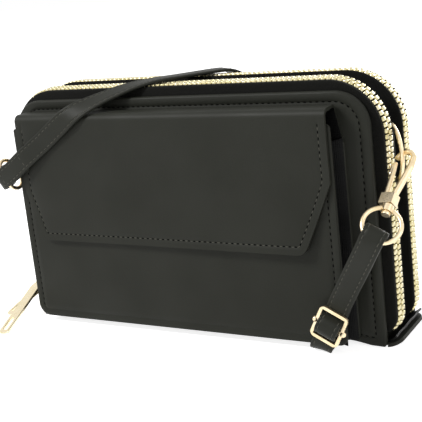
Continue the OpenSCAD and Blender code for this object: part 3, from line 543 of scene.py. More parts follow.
class Finish:
    """A material, or the room's sky, being mixed. add() makes any node and gives an output."""
    def __init__(self, name, family="materials", last="Principled BSDF"):
        self.owner = getattr(bpy.data, family).new(name)
        self.owner.use_nodes = True
        self.tree = self.owner.node_tree
        self.last = self.tree.nodes[last]

    def feed(self, slot, value):
        if isinstance(value, Value):
            self.tree.links.new(value.socket, slot)
        else:
            slot.default_value = value

    def add(self, kind, settings=None, out=0, **inputs):
        node = self.tree.nodes.new(kind)
        for key, value in (settings or {}).items():
            setattr(node, key, value)
        for key, value in inputs.items():
            self.feed(node.inputs[key.replace("_", " ")], value)
        return Value(self, node.outputs[out])

    def where(self, kind="Object"):
        return self.add("ShaderNodeTexCoord", out=kind)

    def seen(self, *rays):
        """1 for the kinds of ray named, and 0 for all other light."""
        first, *rest = [self.add("ShaderNodeLightPath", out=f"Is {ray} Ray") for ray in rays]
        return sum(rest, first)

    def noise(self, where, scale, detail=3, rough=0.5):
        return self.add("ShaderNodeTexNoise", Vector=where, Scale=scale, Detail=detail,
                        Roughness=rough)

    def mix(self, share, a, b):
        node = self.tree.nodes.new("ShaderNodeMix")
        node.data_type = "RGBA"
        for slot, value in ((node.inputs[0], share), (node.inputs[6], a), (node.inputs[7], b)):
            self.feed(slot, value)
        return Value(self, node.outputs[2])

    def spread(self, value, low, high, to_low=0.0, to_high=1.0):
        return self.add("ShaderNodeMapRange", Value=value, From_Min=low, From_Max=high,
                        To_Min=to_low, To_Max=to_high)

    def bump(self, height, depth):
        return self.add("ShaderNodeBump", Height=height, Strength=1.0, Distance=depth * MM)

    def set(self, **inputs):
        for key, value in inputs.items():
            self.feed(self.last.inputs[key.replace("_", " ")], value)
        return self.owner


def linear(*rgb):
    """A colour as it is seen on the object, from 0 to 255, as the shader wants it."""
    return tuple((c / 255 / 12.92) if c <= 10 else ((c / 255 + 0.055) / 1.055) ** 2.4
                 for c in rgb) + (1,)


def times(colour, share):
    """The same colour, lighter or darker."""
    return tuple(min(1, c * share) for c in colour[:3]) + (1,)


# %% [markdown]
# ### Leather
# The pouch is covered in smooth coated leather, charcoal with a hint of olive. Up close it has a
# fine grain and tiny pores; from further away its gloss varies a little in broad patches.

# %% Smooth leather
def leather(name, shade, dark, gloss=0.5):
    """Coated leather: fine grain and pores in the surface, broad patches in colour and gloss."""
    mix = Finish(name)
    where = mix.where()
    patches = mix.noise(where, 28, 2)
    fine_grain = mix.noise(where, 1500, 4, 0.6)
    pores = mix.add("ShaderNodeTexVoronoi", {"feature": "F1"}, Vector=where, Scale=1150.0)
    height = fine_grain * 0.6 + mix.spread(pores, 0.1, 0.55) * 0.4
    colour = mix.mix(mix.spread(patches, 0.35, 0.65), shade, dark)
    rough = mix.spread(patches, 0.3, 0.7, gloss - 0.04, gloss + 0.06) + fine_grain * 0.05
    return mix.set(Base_Color=colour, Roughness=rough, Specular_IOR_Level=0.17,
                   Normal=mix.bump(height, 0.05))


body_leather = leather("body_leather", linear(42, 43, 37), linear(38, 39, 33))
strap_leather = leather("strap_leather", linear(43, 44, 38), linear(38, 39, 33), gloss=0.46)


# %% [markdown]
# ### Thread, cloth and metal
# Thread is twisted, so it shows fine slanting ribs. The zip tapes are woven in a herringbone, and
# the black lining is a plain weave with soft creases; its near-black colour is partly the black cloth
# and partly painted shade of the pocket's folds and the hollow under the flap. The metal is plated
# pale gold: almost smooth, with faint scratches. The magnet's steel is grey.

# %% Thread, tape, lining and metal
def thread(name, shade, gloss=0.25):
    mix = Finish(name)
    twist = mix.add("ShaderNodeTexWave", {"bands_direction": "DIAGONAL"}, Vector=mix.where(),
                    Scale=900.0, Distortion=1.5)
    colour = mix.mix(twist, shade, times(shade, 0.6))
    return mix.set(Base_Color=colour, Roughness=0.75, Specular_IOR_Level=gloss,
                   Normal=mix.bump(twist, 0.05))


def tape_cloth(name, shade):
    mix = Finish(name)
    apart = mix.add("ShaderNodeSeparateXYZ", Vector=mix.where("UV"))
    across = Value(mix, apart.socket.node.outputs[1])
    lane = (across * 5.0).math("PINGPONG", 1.0)
    twill = ((apart * 14.0 + lane * 1.6) * (2 * math.pi)).math("SINE")
    yarn = (across * 160.0).math("SINE")
    height = twill * 0.5 + yarn * 0.25 + 0.5
    colour = mix.mix(mix.spread(height, 0.1, 1), times(shade, 0.25), shade)
    return mix.set(Base_Color=colour, Roughness=0.82, Specular_IOR_Level=0.1, Sheen_Weight=0.04,
                   Normal=mix.bump(height, 0.08))


def lining_cloth(name, shade):
    mix = Finish(name)
    where = mix.where()
    weave_x, weave_z = [mix.add("ShaderNodeTexWave", {"bands_direction": axis}, Vector=where,
                                Scale=420.0, Distortion=0.6) for axis in ("X", "Z")]
    height = weave_x * weave_z
    crease = mix.noise(where, 60)
    colour = mix.mix(height, shade, times(shade, 1.7))
    return mix.set(Base_Color=colour, Roughness=mix.spread(crease, 0.3, 0.7, 0.35, 0.65),
                   Specular_IOR_Level=0.12, Normal=mix.bump(height + crease * 4.0, 0.12))


def plated(name, shade, deep, gloss):
    mix = Finish(name)
    where = mix.where()
    patches = mix.noise(where, 160)
    scratches = mix.noise(mix.add("ShaderNodeMapping", Vector=where, Scale=(1.0, 1.0, 9.0)), 900, 2)
    return mix.set(Base_Color=mix.mix(mix.spread(patches, 0.3, 0.7), shade, deep), Metallic=1.0,
                   Roughness=mix.spread(scratches, 0.3, 0.75, gloss, gloss + 0.12),
                   Normal=mix.bump(scratches, 0.012))


body_thread = thread("body_thread", linear(58, 58, 51))
strap_thread = thread("strap_thread", linear(98, 97, 88))
flap_thread = thread("flap_thread", linear(92, 91, 82))
# near-black finish: painted shade for the needle's holes, put on thin marks at the stitches' ends
painted_needle_shadow = thread("needle_shadow_marks", linear(3, 3, 3), gloss=0.03)
zip_tape = tape_cloth("zip_tape", linear(27, 27, 24))
# black cloth made near-black: partly its own colour, partly painted shade of the pocket's folds and
# the hollow under the flap
lining = lining_cloth("lining", linear(4, 4, 4))
zip_metal = plated("zip_metal", linear(230, 221, 188), linear(206, 195, 146), 0.26)
pull_metal = plated("pull_metal", linear(246, 234, 206), linear(236, 221, 184), 0.18)
hook_metal = plated("hook_metal", linear(243, 226, 194), linear(232, 210, 168), 0.26)
magnet_steel = plated("magnet_steel", linear(178, 178, 176), linear(150, 150, 150), 0.34)
print("finishes", len(bpy.data.materials))


def dress(piece, material, *nodes, body="bag", slot=None):
    """Gives a piece its finish and its body, and hides the solids that it stands for.

    The slot argument is not used.
    """
    if not piece.data.materials:
        piece.data.materials.append(material)
    if body:
        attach(piece, body)
    if nodes:
        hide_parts(*nodes)
    return piece


def sewn(seam_name, shadow_marks_name, points, side, finish, body, length=1.5, gap=1.8):
    """A seam on a face that looks along Y to that side, and thin near-black marks at its stitches'
    ends, painted shade standing in for the needle's holes.
    """
    lines = [(points, (0, side, 0))]
    threads = seam(seam_name, lines, length=length, radius=0.2)
    dress(threads, finish, body=body, slot="body_leather")
    # thin near-black marks at the stitches' ends: painted shade where the needle's holes would be
    shadow_marks = seam(shadow_marks_name, lines, length=gap, radius=0.42, phase=1.0, height=0.25)
    dress(shadow_marks, painted_needle_shadow, body=body, slot="body_leather")


dress(strap, strap_leather, "strap_left_end", "strap_left_run", "strap_back_fall", "strap_roll",
      "strap_under_run", "strap_right_run", "strap_sewn_end")
dress(strap_seam, strap_thread, slot="strap_leather")

# %% [markdown]
# ## The boards
# The front and back of the pouch are stiff boards under leather, square at the base and round at
# the upper corners. The leather is turned over the edge and stitched down all round, which draws
# a shallow line into the face, and a thin padding makes the face swell a little in the middle.

# %% Pattern of a board
half_w, board_h, corner_r, board_corner_r, half_d, board_t = 93, 112, 20, 15, 20, 3
arch_x, arch_half, arch_rise, arch_fade = 67, 20, 2.3, 16
board_edge = Pattern(four_corners(-half_w, half_w, 0, board_h),
                     [1.5, 1.5, board_corner_r, board_corner_r])
board_inset, board_swell, board_groove, board_soft = 4.3, 0.5, 0.28, 26
cell, seam_rings = 7, [0.3, 0.3, 0.3, 0.3, 2]


def swollen(away, inset, rise, reach):
    """How far a padded face stands out at a distance inside its edge."""
    return rise * (1 - (1 - np.clip((away - inset) / reach, 0, 1)) ** 2)


def drawn_in(away, inset, depth, half=0.55):
    """How far a seam draws the face in round its own line."""
    return depth * np.exp(-((away - inset) / half) ** 2)


def board_depth(x, z):
    away = board_edge.inside(x, z)
    return swollen(away, board_inset, board_swell, board_soft) \
        - drawn_in(away, board_inset, board_groove)


def arch_lift(x, z):
    """The soft base bends up over the strap, and the boards' lower edges with it."""
    rise = np.clip(arch_rise * (1 - ((x - arch_x) / arch_half) ** 2), 0, None)
    return rise * np.clip(1 - z / arch_fade, 0, 1)


def board(name, front, node):
    turn, body = (-1, "bag") if front else (1, "back")
    piece = board_edge.cut(name, [0.12, 0.28, 0.4, 2.9, *seam_rings], cell)
    shape_slab(piece, lambda x, z: -half_d - board_depth(x, z) + board_edge.rolled(x, z, 1.1),
               lambda x, z: -half_d + board_t - board_edge.rolled(x, z, 0.5), arch_lift)
    if not front:
        smooth(outward(put_points(piece, points_of(piece) * (1, -1, 1))))
    x, z = board_edge.outline(board_inset).T
    points = columns(x, (half_d + board_depth(x, z)) * turn, z + arch_lift(x, z))
    dress(piece, body_leather, node, body=body)
    sewn(name + "_seam", name + "_needle_shadow_marks", points, turn, body_thread, body)
    return piece


front_cover = board("front_cover", True, "front_board")
board("back_cover", False, "back_board")
print("boards", len(front_cover.data.polygons))

# %% [markdown]
# ## Tapes, band and teeth
# Both zips run round three sides of the pouch along the boards' edge and turn in at the feet. All
# that follows the edge is laid along one path; a profile says how far out and how far back each of
# its points lies.

# %% The edge path
foot_h, foot_r, foot_turn, zip_rise, zip_gap, zip_lean = 13, 9, 55, 3.8, 21, math.radians(4)
foot_in = foot_r - zip_rise


def edge_path():
    """Points and outward directions along the edge, from the right foot to the left one."""
    foot_x, corner_x, corner_z = half_w - foot_in, half_w - corner_r, board_h - corner_r
    rows = [(foot_x, foot_h, foot_in, a) for a in np.linspace(-foot_turn, 0, 12)]
    rows += [(foot_x, z, foot_in, 0) for z in np.linspace(foot_h, corner_z, 30)[1:]]
    rows += [(corner_x, corner_z, corner_r, a) for a in np.linspace(0, 90, 22)[1:]]
    rows += [(x, corner_z, corner_r, 90) for x in np.linspace(corner_x, 0, 26)[1:]]
    rows += [(-x, z, r, 180 - a) for x, z, r, a in rows[-2::-1]]
    x, z, r, angle = np.array(rows).T
    way = columns(np.cos(np.radians(angle)), 0, np.sin(np.radians(angle)))
    return columns(x, 0, z) + way * r[:, None], way


def along_edge(name, profile, back=False):
    """A sheet whose profile, (out, y) points, is laid along the whole edge."""
    points, way = edge_path()
    side = -1 if back else 1
    sheet = [points + way * out + (0, y * side, 0) for out, y in profile]
    return laid(name, np.stack(sheet, axis=1), flip=back)


def beside_chain(d):
    return (zip_rise + d * math.sin(zip_lean), -zip_gap / 2 + d * math.cos(zip_lean))


def bent(points, n=4):
    """A profile with its corners eased."""
    return [tuple(p) for p in eased([(a, b, 0) for a, b in points], n)[:, :2]]


board_back, tape_t, band_t = -half_d + board_t, 0.8, 0.5
profiles = {
    "outer": bent([(-4.6, board_back + 0.4), (-2.2, board_back + 0.4), (-0.4, board_back + 0.6),
                   (1.2, board_back + 1.0), *map(beside_chain, (-4.9, -3.6, -1.35))]),
    "inner": bent([*map(beside_chain, (1.35, 3.6, 4.7)), (1.4, -5.4), (-0.5, -4.7), (-2, -4.6)]),
}
zip_parts = [(zip_name, part, "back" if (zip_name, part) == ("back", "outer") else "bag")
             for zip_name in ("front", "back") for part in ("outer", "inner")]
for zip_name, part, body in zip_parts:
    sheet = along_edge(f"{zip_name}_{part}_tape_cloth", profiles[part], zip_name == "back")
    dress(thicken(sheet, tape_t, side=0), zip_tape, f"{zip_name}_zip_{part}_tape", body=body)
print("tapes laid")

# %% The band between the zips
band_half = [(-2.6, 3.6), (-2.1, 4.3), (-0.9, 4.2), (-0.55, 3.4), (-0.5, 1.5)]
band_profile = bent([(out, -y) for out, y in band_half] + band_half[::-1], 3)
band = thicken(along_edge("divider_band_cover", band_profile), band_t, side=0)
dress(band, body_leather, "divider_band")


# %% One tooth and the four rows
def tooth_pattern():
    """A tooth seen from outside: a broad leg clamped on the tape and a narrow head."""
    deselect()
    bpy.ops.mesh.primitive_cube_add(size=1)
    piece = named("tooth_pattern")
    leg, leg_middle = (2.3, 2.55, 1.85), (0, -1.73, 0)
    put_points(piece, points_of(piece) * MM * leg + leg_middle)
    pick_faces(piece, lambda normal: normal.y > 0.9)
    bpy.ops.mesh.inset(thickness=0.32 * MM, depth=0)
    bpy.ops.mesh.extrude_region_move(TRANSFORM_OT_translate={"value": (0, 0.86 * MM, 0)})
    return outward(soften(close(piece), 0.17, 1, 40))


chain_corner = corner_r + zip_rise
foot_len = foot_r * math.radians(foot_turn)
side_h = board_h - corner_r - foot_h
corner_len = chain_corner * math.pi / 2
half_len = foot_len + side_h + corner_len + half_w - corner_r


def chain_place(s):
    """x, z and outward angle on the chain's middle line."""
    if s > half_len:
        x, z, a = chain_place(2 * half_len - s)
        return -x, z, math.pi - a
    if s < foot_len:
        a = (s - foot_len) / foot_r
        return half_w - foot_in + foot_r * math.cos(a), foot_h + foot_r * math.sin(a), a
    s -= foot_len
    if s < side_h:
        return half_w + zip_rise, foot_h + s, 0.0
    s -= side_h
    if s < corner_len:
        a = s / chain_corner
        return (half_w - corner_r + chain_corner * math.cos(a),
                board_h - corner_r + chain_corner * math.sin(a), a)
    return half_w - corner_r - (s - corner_len), board_h + zip_rise, math.pi / 2


pitch = 2.5
teeth_count = math.floor((2 * half_len - pitch) / pitch)
teeth_start = (2 * half_len - teeth_count * pitch) / 2
mirror_y, mirror_z = Matrix.Scale(-1, 4, (0, 1, 0)), Matrix.Scale(-1, 4, (0, 0, 1))


def tooth_places(back, inner):
    """Where the teeth of a row sit; the inner row has one fewer, half a pitch on."""
    places = []
    for i in range(teeth_count + (0 if inner else 1)):
        x, z, a = chain_place(teeth_start + (i + (0.5 if inner else 0)) * pitch)
        place = Matrix.Translation((x, -zip_gap / 2, z)) \
            @ Matrix.Rotation(-a, 4, "Y") @ Matrix.Rotation(-zip_lean, 4, "Z")
        if inner:
            place = place @ mirror_y @ mirror_z
        if back:
            place = mirror_y @ place @ mirror_z
        places.append(np.array(place)[:3])
    return places


for zip_name, part, body in zip_parts:
    places = tooth_places(zip_name == "back", part == "inner")
    row = outward(copies(f"{zip_name}_{part}_teeth_row", tooth_pattern(), places))
    dress(row, zip_metal, f"{zip_name}_zip_{part}_teeth", body=body)
print("teeth in a row", teeth_count)

# %% [markdown]
# ## The phone pocket
# Two panels joined by a black gusset that folds in at the sides. The front panel is stitched along
# its sides and bulges a little below the flap. A thin steel plate in its face meets the magnet in
# the flap; it is a turned disc with a shallow step, made from a cylinder by three insets.

# %% Pocket panels
pocket_x, pocket_half, pocket_z, pocket_top = -3.6, 83.5, 3.4, 100.4
pocket_face, rear_face, skin_t = -30.3, -21.2, 1.2
pocket_splay, pocket_inset, pocket_swell, pocket_swell_top = 2, 3.6, 0.75, 48
side_name = {1: "right", -1: "left"}
front_corners = four_corners(pocket_x - pocket_half, pocket_x + pocket_half, pocket_z, pocket_top)
front_corners[0] = (pocket_x - pocket_half - pocket_splay, pocket_z)
front_edge = Pattern(front_corners, [6, 4, 2, 2])


def pocket_depth(x, z):
    away = front_edge.inside(x, z)
    below_flap = np.clip((pocket_swell_top - z) / 20, 0, 1)
    return swollen(away, pocket_inset, pocket_swell, 24) * below_flap \
        - drawn_in(away, pocket_inset, 0.25)


pocket_front = front_edge.cut("pocket_front", [0.1, 0.2, 0.3, 2.4, *seam_rings], cell)
shape_slab(pocket_front,
           lambda x, z: pocket_face - pocket_depth(x, z) + front_edge.rolled(x, z, 0.6),
           lambda x, z: pocket_face + skin_t)
dress(pocket_front, body_leather, "pocket_front_panel")
line = front_edge.outline(pocket_inset)
x, z = line[line[:, 1] > pocket_z + front_edge.radii[0]].T
sewn("pocket_front_seam", "pocket_needle_shadow_marks",
     columns(x, pocket_face - pocket_depth(x, z), z), -1, body_thread, "bag")

# %% The magnet's steel plate on the pocket
plate_r, plate_z, plate_proud, plate_t = 7, 57, 0.32, 0.6
plate_y = pocket_face - plate_proud + plate_t / 2
plate = cylinder("pocket_magnet_plate", 48, plate_r * MM, plate_t * MM, (math.pi / 2, 0, 0),
                 (pocket_x * MM, plate_y * MM, plate_z * MM))
pick_faces(plate, lambda normal: normal.y < -0.9)
for inset, sunk in ((1.4, 0), (0.3, -0.15), (3, 0)):
    bpy.ops.mesh.inset(thickness=inset * MM, depth=sunk * MM)
soften(close(plate), 0.08, 2, 40)
dress(smooth(plate), magnet_steel, "pocket_magnet")

# %% Rear panel
rear_left, rear_half, rear_top = -86.6, 85.5, 91.5
rear_edge = Pattern(four_corners(rear_left, pocket_x + rear_half, pocket_z, rear_top), [2, 2, 1, 1])
pocket_rear = rear_edge.cut("pocket_rear", [0.1, 0.2, 0.3, 2], 20)
shape_slab(pocket_rear, lambda x, z: rear_face + rear_edge.rolled(x, z, 0.55),
           lambda x, z: rear_face + skin_t)
dress(pocket_rear, body_leather, "pocket_rear_panel")

# %% The gusset
gusset_low, gusset_fold, gusset_top, gusset_t = pocket_face + skin_t, 6, 93, 0.8
fold_y = (gusset_low + rear_face) / 2
heights = np.linspace(pocket_z, gusset_top, 60)
for side in (1, -1):
    rows = []
    for z in heights:
        crinkle = 0.35 * math.sin(z * 0.55 + side) + 0.25 * math.sin(z * 0.23 + 2)
        top = np.clip((z - gusset_top + 10) / 10, 0, 1)
        half = [(pocket_half - 0.6, gusset_low - 0.2), (pocket_half - 0.7, gusset_low + 0.6),
                (pocket_half - gusset_fold * 0.62 + crinkle, (gusset_low + fold_y) / 2),
                (pocket_half - gusset_fold + crinkle * 0.4, fold_y),
                (pocket_half - gusset_fold * 0.45 - crinkle, (rear_face + fold_y) / 2),
                (rear_half - 0.8, rear_face - 0.5), (rear_half - 0.7, rear_face)]
        rows.append([(pocket_x + side * x, y, z - top * 2.5 * (1 - abs(y - fold_y) / 4.2))
                     for x, y in bent(half, 3)])
    piece = laid(f"pocket_gusset_{side_name[side]}", rows, flip=side < 0)
    # the gusset's near-black lining is partly painted shade of its deep fold
    dress(thicken(piece, gusset_t, side=1), lining, *(["pocket_gusset"] if side > 0 else []))
y = np.linspace(gusset_low, rear_face, 9)
floor_z = pocket_z + 0.5 + 0.5 * np.sin((y - gusset_low) / (rear_face - gusset_low) * math.pi)
floor_rows = [columns(x, y, floor_z)
              for x in np.linspace(pocket_x - pocket_half + 4, pocket_x + pocket_half - 4, 40)]
dress(thicken(laid("pocket_floor", floor_rows), gusset_t, side=0), lining)
print("pocket made")

# %% [markdown]
# ## The flap
# One sheet of leather: its tail is sewn behind the pocket, it bends over the pocket's mouth and
# hangs down in front with two slanting corners, of which the left one is cut wider and lower. It
# moves on two folds, so it is laid in two pieces that meet in the middle of the bridge. Inside it
# is lined with black cloth, made near-black partly as painted shade of the hollow under it.

# %% Pattern and bend of the flap
flap_x, flap_half, tip_z, flap_t = pocket_x + 1.3, 81.2, 45, 1.5
tip_half, knee_z = {-1: 74, 1: 67.7}, {-1: 69, 1: 76}
tip_r, flap_inset = 5, 3.4
slant_angle = {side: math.atan2(knee_z[side] - tip_z, flap_half - tip_half[side])
               for side in (-1, 1)}
face_y, top_z, tail_y, tail_z = -31.45, 106.25, -20.6, 91.2
bend_front, bend_back = 2.6, 2.2
flap_edge = Pattern([(-tip_half[-1], tip_z), (tip_half[1], tip_z), (flap_half, knee_z[1]),
                     (flap_half, 140), (-flap_half, 140), (-flap_half, knee_z[-1])],
                    [tip_r, tip_r, 3, 1, 1, 3])


def half_width(z, side):
    """How far the flap's front reaches from its middle to one side at a height."""
    run = tip_r * math.tan(slant_angle[side] / 2)
    if z < tip_z + math.sin(slant_angle[side]) * run:
        return tip_half[side] - run + math.sqrt(max(0, tip_r ** 2 - (tip_r - (z - tip_z)) ** 2))
    if z < knee_z[side]:
        return tip_half[side] + (z - tip_z) / math.tan(slant_angle[side])
    return flap_half


def flap_bulge(x, z):
    """How far the front stands out: a roll under the bend, a tip that lifts, a drawn-in seam."""
    away = flap_edge.inside(x, z)
    roll_z, lift_z, lift = 92, 66, 2.4
    roll_out = 0.35 * np.exp(-((z - roll_z) / 12) ** 2) * np.clip(away / 10, 0, 1)
    more_to_the_right = 0.35 + 0.65 * np.clip((x + 25) / 85, 0, 1)
    tip_lift = lift * np.clip((lift_z - z) / 21, 0, 1) ** 2 * more_to_the_right
    return roll_out + tip_lift - drawn_in(away, flap_inset, 0.26)


arc_z = [tip_z + tip_r * (1 - math.cos(a)) for a in np.linspace(0, slant_angle[-1], 9)]
seam_z = [tip_z + 1.2, tip_z + 2.9, tip_z + 3.4, tip_z + 3.9]
front_z = sorted(set(np.round([*arc_z, *seam_z, *np.arange(51, 75, 2.0), 76,
                               *np.arange(78, 103.4, 2.2)], 3)))
edge_steps = np.array([0, 0.5, 1.2, 2.2, 2.9, 3.4, 3.9, 4.8])
inner_steps = 43


def across_flap(z):
    """Places across the flap at a height, closer together near its seams."""
    left, right = [half_width(z, side)
                   - edge_steps / (math.sin(slant_angle[side]) if z < knee_z[side] else 1)
                   for side in (-1, 1)]
    middle = np.linspace(-left[-1], right[-1], inner_steps)
    return np.concatenate([-left[:-1], middle, right[-2::-1]])


wide, split_y, outer_z = across_flap(100), -26.0, top_z + flap_t / 2


def bend_rows(y, radius, start, end, n):
    """Rows of the flap's outer face round a bend, angles from +Y towards +Z."""
    z, reach = top_z - radius, radius + flap_t / 2
    return [columns(flap_x + wide, y + reach * math.cos(a), z + reach * math.sin(a))
            for a in np.radians(np.linspace(start, end, n))]


front_rows = []
for z in front_z:
    x = across_flap(z)
    bulge = flap_bulge(x, np.full_like(x, z))
    front_rows.append(columns(flap_x + x, face_y - flap_t / 2 - bulge, z))
front_rows += bend_rows(face_y + bend_front, bend_front, 180, 90, 8)
front_rows += [columns(flap_x + wide, y, outer_z) for y in (-28, split_y)]
flap_cover = laid("flap_cover", front_rows, flip=True)
# the back faces take the near-black lining, partly painted shade of the hollow under the flap
thicken(flap_cover, flap_t, faces=(body_leather, lining))

rear_rows = [columns(flap_x + wide, y, outer_z) for y in (split_y, -24.5)]
rear_rows += bend_rows(tail_y - bend_back - 0.15, bend_back, 90, 0, 7)
tail_start, tail_half = 104, pocket_x + rear_half - 0.3 - flap_x
for z in (102.5, 101, 99, 97, 95, 93, tail_z):
    share = (tail_start - z) / (tail_start - tail_z)
    spread = np.where(wide > 0, 1 + share * (tail_half / flap_half - 1), 1) * wide
    rear_rows.append(columns(flap_x + spread, tail_y + 0.6, z))
flap_hinge = laid("flap_hinge", rear_rows, flip=True)
# the tail's back faces take the same near-black lining, partly painted shade of the hollow
thicken(flap_hinge, skin_t, faces=(body_leather, lining))
print("flap rows", len(front_rows), len(rear_rows))

# %% Seam of the flap, and its solids hidden
line = flap_edge.outline(flap_inset)
seam_top = 101
line = line[line[:, 1] < seam_top]
start = int(np.argmin(np.where(line[:, 0] < 0, -line[:, 1], 1e3)))
x, z = np.roll(line, -start, axis=0).T
sewn("flap_seam", "flap_needle_shadow_marks",
     columns(flap_x + x, face_y - flap_t / 2 - flap_bulge(x, z), z), -1, flap_thread, "flap",
     length=1.7, gap=1.5)
dress(flap_cover, body_leather, "flap_front", "flap_bridge", body=None)
dress(flap_hinge, body_leather, "flap_tail", body=None)
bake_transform(flap_cover)
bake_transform(flap_hinge)

# %% [markdown]
# ## The base and what is inside
# The base is a soft leather strip that closes the pouch below and bends up at its ends, where the
# zips turn in. Inside, a lined divider carries the steps of card slots.

# %% Base
tongue_l, tongue_r, base_half_w = 5.5, 8, 16.9
tongue_x = half_w + tongue_l - tongue_r


def base_half(x):
    """Half the base's width: between the boards, and wider and rounded where its ends stand out."""
    if abs(x) < half_w + 0.4:
        return base_half_w
    return half_d - 0.4 - tongue_r + math.sqrt(max(0, tongue_r ** 2 - (abs(x) - tongue_x) ** 2))


end_steps = np.array([84, 88, 91, 92.6, 93.39, 93.41, 94.4, 95.4, 96.3, 97.1, 97.7, 98.1, 98.35,
                      98.47])
width_shares = np.array([-1, -0.96, -0.72, -0.36, 0, 0.36, 0.72, 0.96, 1])
base_rows = []
for x in np.concatenate([-end_steps[::-1], np.linspace(-80, 44, 16), np.linspace(47, 83, 19),
                         end_steps]):
    end_lift = 0.9 * np.clip((abs(x) - 94) / 4.5, 0, 1) ** 2
    lift = float(arch_lift(np.array(x), np.array(0.0))) + end_lift
    base_rows.append(columns(x, base_half(x) * width_shares, lift + 0.02))
base_cover = laid("base_cover", base_rows, flip=True)
thicken(base_cover, 1.5, 0.35)
dress(base_cover, body_leather, "base_panel")
for side in (1, -1):
    rows = []
    for a in np.radians(np.linspace(-86, -44, 12)):
        row = []
        for y in np.linspace(-16.8, 16.8, 25):
            r = foot_h - 0.55 + 0.12 * math.sin(y * 0.5 + 3 * a) + 0.06 * math.sin(y * 1.3 + side)
            row.append((side * (half_w - foot_in + r * math.cos(a)), y, foot_h + r * math.sin(a)))
        rows.append(row)
    foot = laid(f"foot_gusset_{side_name[side]}", rows, flip=side < 0)
    dress(thicken(foot, 0.9, side=0), lining)
print("base laid")

# %% The divider
divider_edge = Pattern([(-87.6, 4.2), (87.6, 4.2), (88.8, 16), (88.8, 107.8), (-88.8, 107.8),
                        (-88.8, 16)], [3, 3, 4, 16, 16, 4])
divider_half = 1.1
divider = divider_edge.cut("divider_sheet", [0.2, 0.4, 0.6, 3], 12)
shape_slab(divider, lambda x, z: divider_edge.rolled(x, z, 0.8) - divider_half,
           lambda x, z: divider_half - divider_edge.rolled(x, z, 0.8))
dress(divider, lining, "center_divider")

# %% The card slots
card_w, card_h, card_t, card_drop, card_z, card_steps, hem = 84, 84, 0.8, 12, 4.7, 4, 2
slot_seams = []
for side in (-1, 1):
    left = side * (card_w / 2 + card_t) - card_w / 2
    for step in range(card_steps):
        top, near = card_z + card_h - step * card_drop, 1.2 + step * card_t
        slot_edge = Pattern(four_corners(left, left + card_w, card_z, top), [1, 1, 3, 3])
        slot = slot_edge.cut(f"card_slot_{side_name[side]}_{step + 1}",
                             [0.1, 0.2, 1.3, 0.3, 0.3, 0.3], 14)
        shape_slab(slot, lambda x, z: near + 0.05, lambda x, z: near + card_t - 0.05
                   - slot_edge.rolled(x, z, 0.3) - drawn_in(slot_edge.inside(x, z), hem, 0.12, 0.3))
        dress(slot, lining, *(["card_slots"] if side < 0 and step == 0 else []))
        reach = np.linspace(left + hem, left + card_w - hem, 30)
        slot_seams.append((columns(reach, near + card_t - 0.15, top - hem), (0, 1, 0)))
dress(seam("card_slot_seams", slot_seams, radius=0.17), body_thread, slot="lining")
print("card slots", 2 * card_steps)

# %% Tabs of the rings
band_face, ring_z, tab_half, tab_t, loop_r = half_w - 0.5, 82, 9, 0.7, 1.3
bar_x = band_face + tab_t + 0.95
for side, name in side_name.items():
    foot = [(band_face + 0.38, -3.8), (band_face + 0.38, -2.9), (band_face + 0.42, -2.1)]
    loop = [(bar_x + loop_r * math.cos(a), loop_r * math.sin(a))
            for a in np.radians(np.linspace(-125, 125, 15))]
    profile = foot + loop + [(x, -y) for x, y in foot[::-1]]
    x, y = np.array(profile).T
    tab = laid(f"ring_tab_{name}_leather", [columns(side * x, y, z) for z in
                                            np.linspace(ring_z - tab_half, ring_z + tab_half, 10)])
    thicken(tab, tab_t, 0.14, side=0)
    dress(tab, body_leather, f"ring_tab_{name}")
    up = np.linspace(ring_z - tab_half + 1, ring_z + tab_half - 1, 12)
    rows = [(columns(side * (band_face + 0.75), y, up), (side, 0, 0)) for y in (-3.1, 3.1)]
    threads = seam(f"ring_tab_{name}_seam", rows, pitch=2.4, length=1.7, radius=0.16)
    dress(threads, body_thread, slot="body_leather")

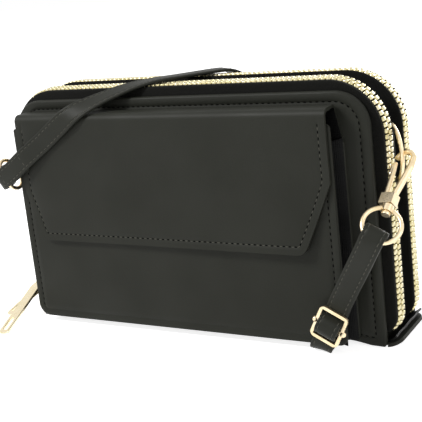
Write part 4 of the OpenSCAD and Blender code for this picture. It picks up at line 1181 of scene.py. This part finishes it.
# %% Finishes of the solids that stay
# the finish of each solid, and how far its edges are rounded
stay = {"zip_end_stops": (zip_metal, 0), "flap_magnet": (magnet_steel, 0),
        "slider_buckle": (hook_metal, 0.35)}
for zip_name in ("front", "back"):
    stay |= {f"{zip_name}_slider": (zip_metal, 0.3), f"{zip_name}_pull_link": (pull_metal, 0),
             f"{zip_name}_pull": (pull_metal, 0.3)}
for side in ("right", "left"):
    stay |= {f"{part}_{side}": (hook_metal, 0) for part in ("d_ring", "hook_gate", "eye_ring")}
    stay[f"hook_body_{side}"] = (hook_metal, 0.35)
for name, (material, edge) in stay.items():
    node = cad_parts[name]
    node.data.materials.clear()
    node.data.materials.append(material)
    if edge:
        weld = node.modifiers.new("weld", "WELD")
        weld.merge_threshold = 0.005 * MM
        soft = node.modifiers.new("soft", "BEVEL")
        soft.width, soft.segments = edge * MM, 3
        soft.limit_method, soft.angle_limit = "ANGLE", math.radians(35)
print("solids dressed", len(stay))

# %% [markdown]
# ## Floor, lamps and the last line
# The pouch stands on a white table in a white room. A soft key lamp shines from the upper left, a
# weak one fills from the right, a low one lights the back, and the sky is even. The camera and the
# reflections see that sky and the floor as white; the light that they give is weaker.

# %% Floor and light
deselect()
bpy.ops.mesh.primitive_plane_add(size=6)
floor = named("floor")
paint = Finish("floor")
paint.set(Base_Color=(0.9, 0.9, 0.9, 1), Roughness=0.9, Specular_IOR_Level=0.0,
          Emission_Strength=1.0,
          Emission_Color=paint.mix(paint.seen("Camera", "Glossy", "Transmission"),
                                   (0, 0, 0, 1), (0.84, 0.84, 0.84, 1)))
floor.data.materials.append(paint.owner)
room = Finish("room", "worlds", "Background")
sky_light = room.spread(room.seen("Camera", "Glossy"), 0.0, 1.0, 0.22, 1.0)
bpy.context.scene.world = room.set(Color=(1, 1, 1, 1), Strength=sky_light)


def lamp(name, place, aim, size, power):
    data = bpy.data.lights.new(name, "AREA")
    data.size, data.energy = size, power
    made = bpy.data.objects.new(name, data)
    bpy.context.scene.collection.objects.link(made)
    made.location = place
    made.rotation_mode = "QUATERNION"
    made.rotation_quaternion = (Vector(aim) - Vector(place)).to_track_quat("-Z", "Y")


lamp("key", (-0.6, -0.7, 0.95), (0, 0, 0.05), 0.32, 11)
lamp("fill", (0.95, -0.25, 0.55), (0.05, 0, 0.05), 0.5, 1.6)
lamp("behind", (0.25, 1.2, 0.35), (0, 0, 0.05), 0.6, 8)
bpy.context.scene.view_settings.view_transform = "Standard"
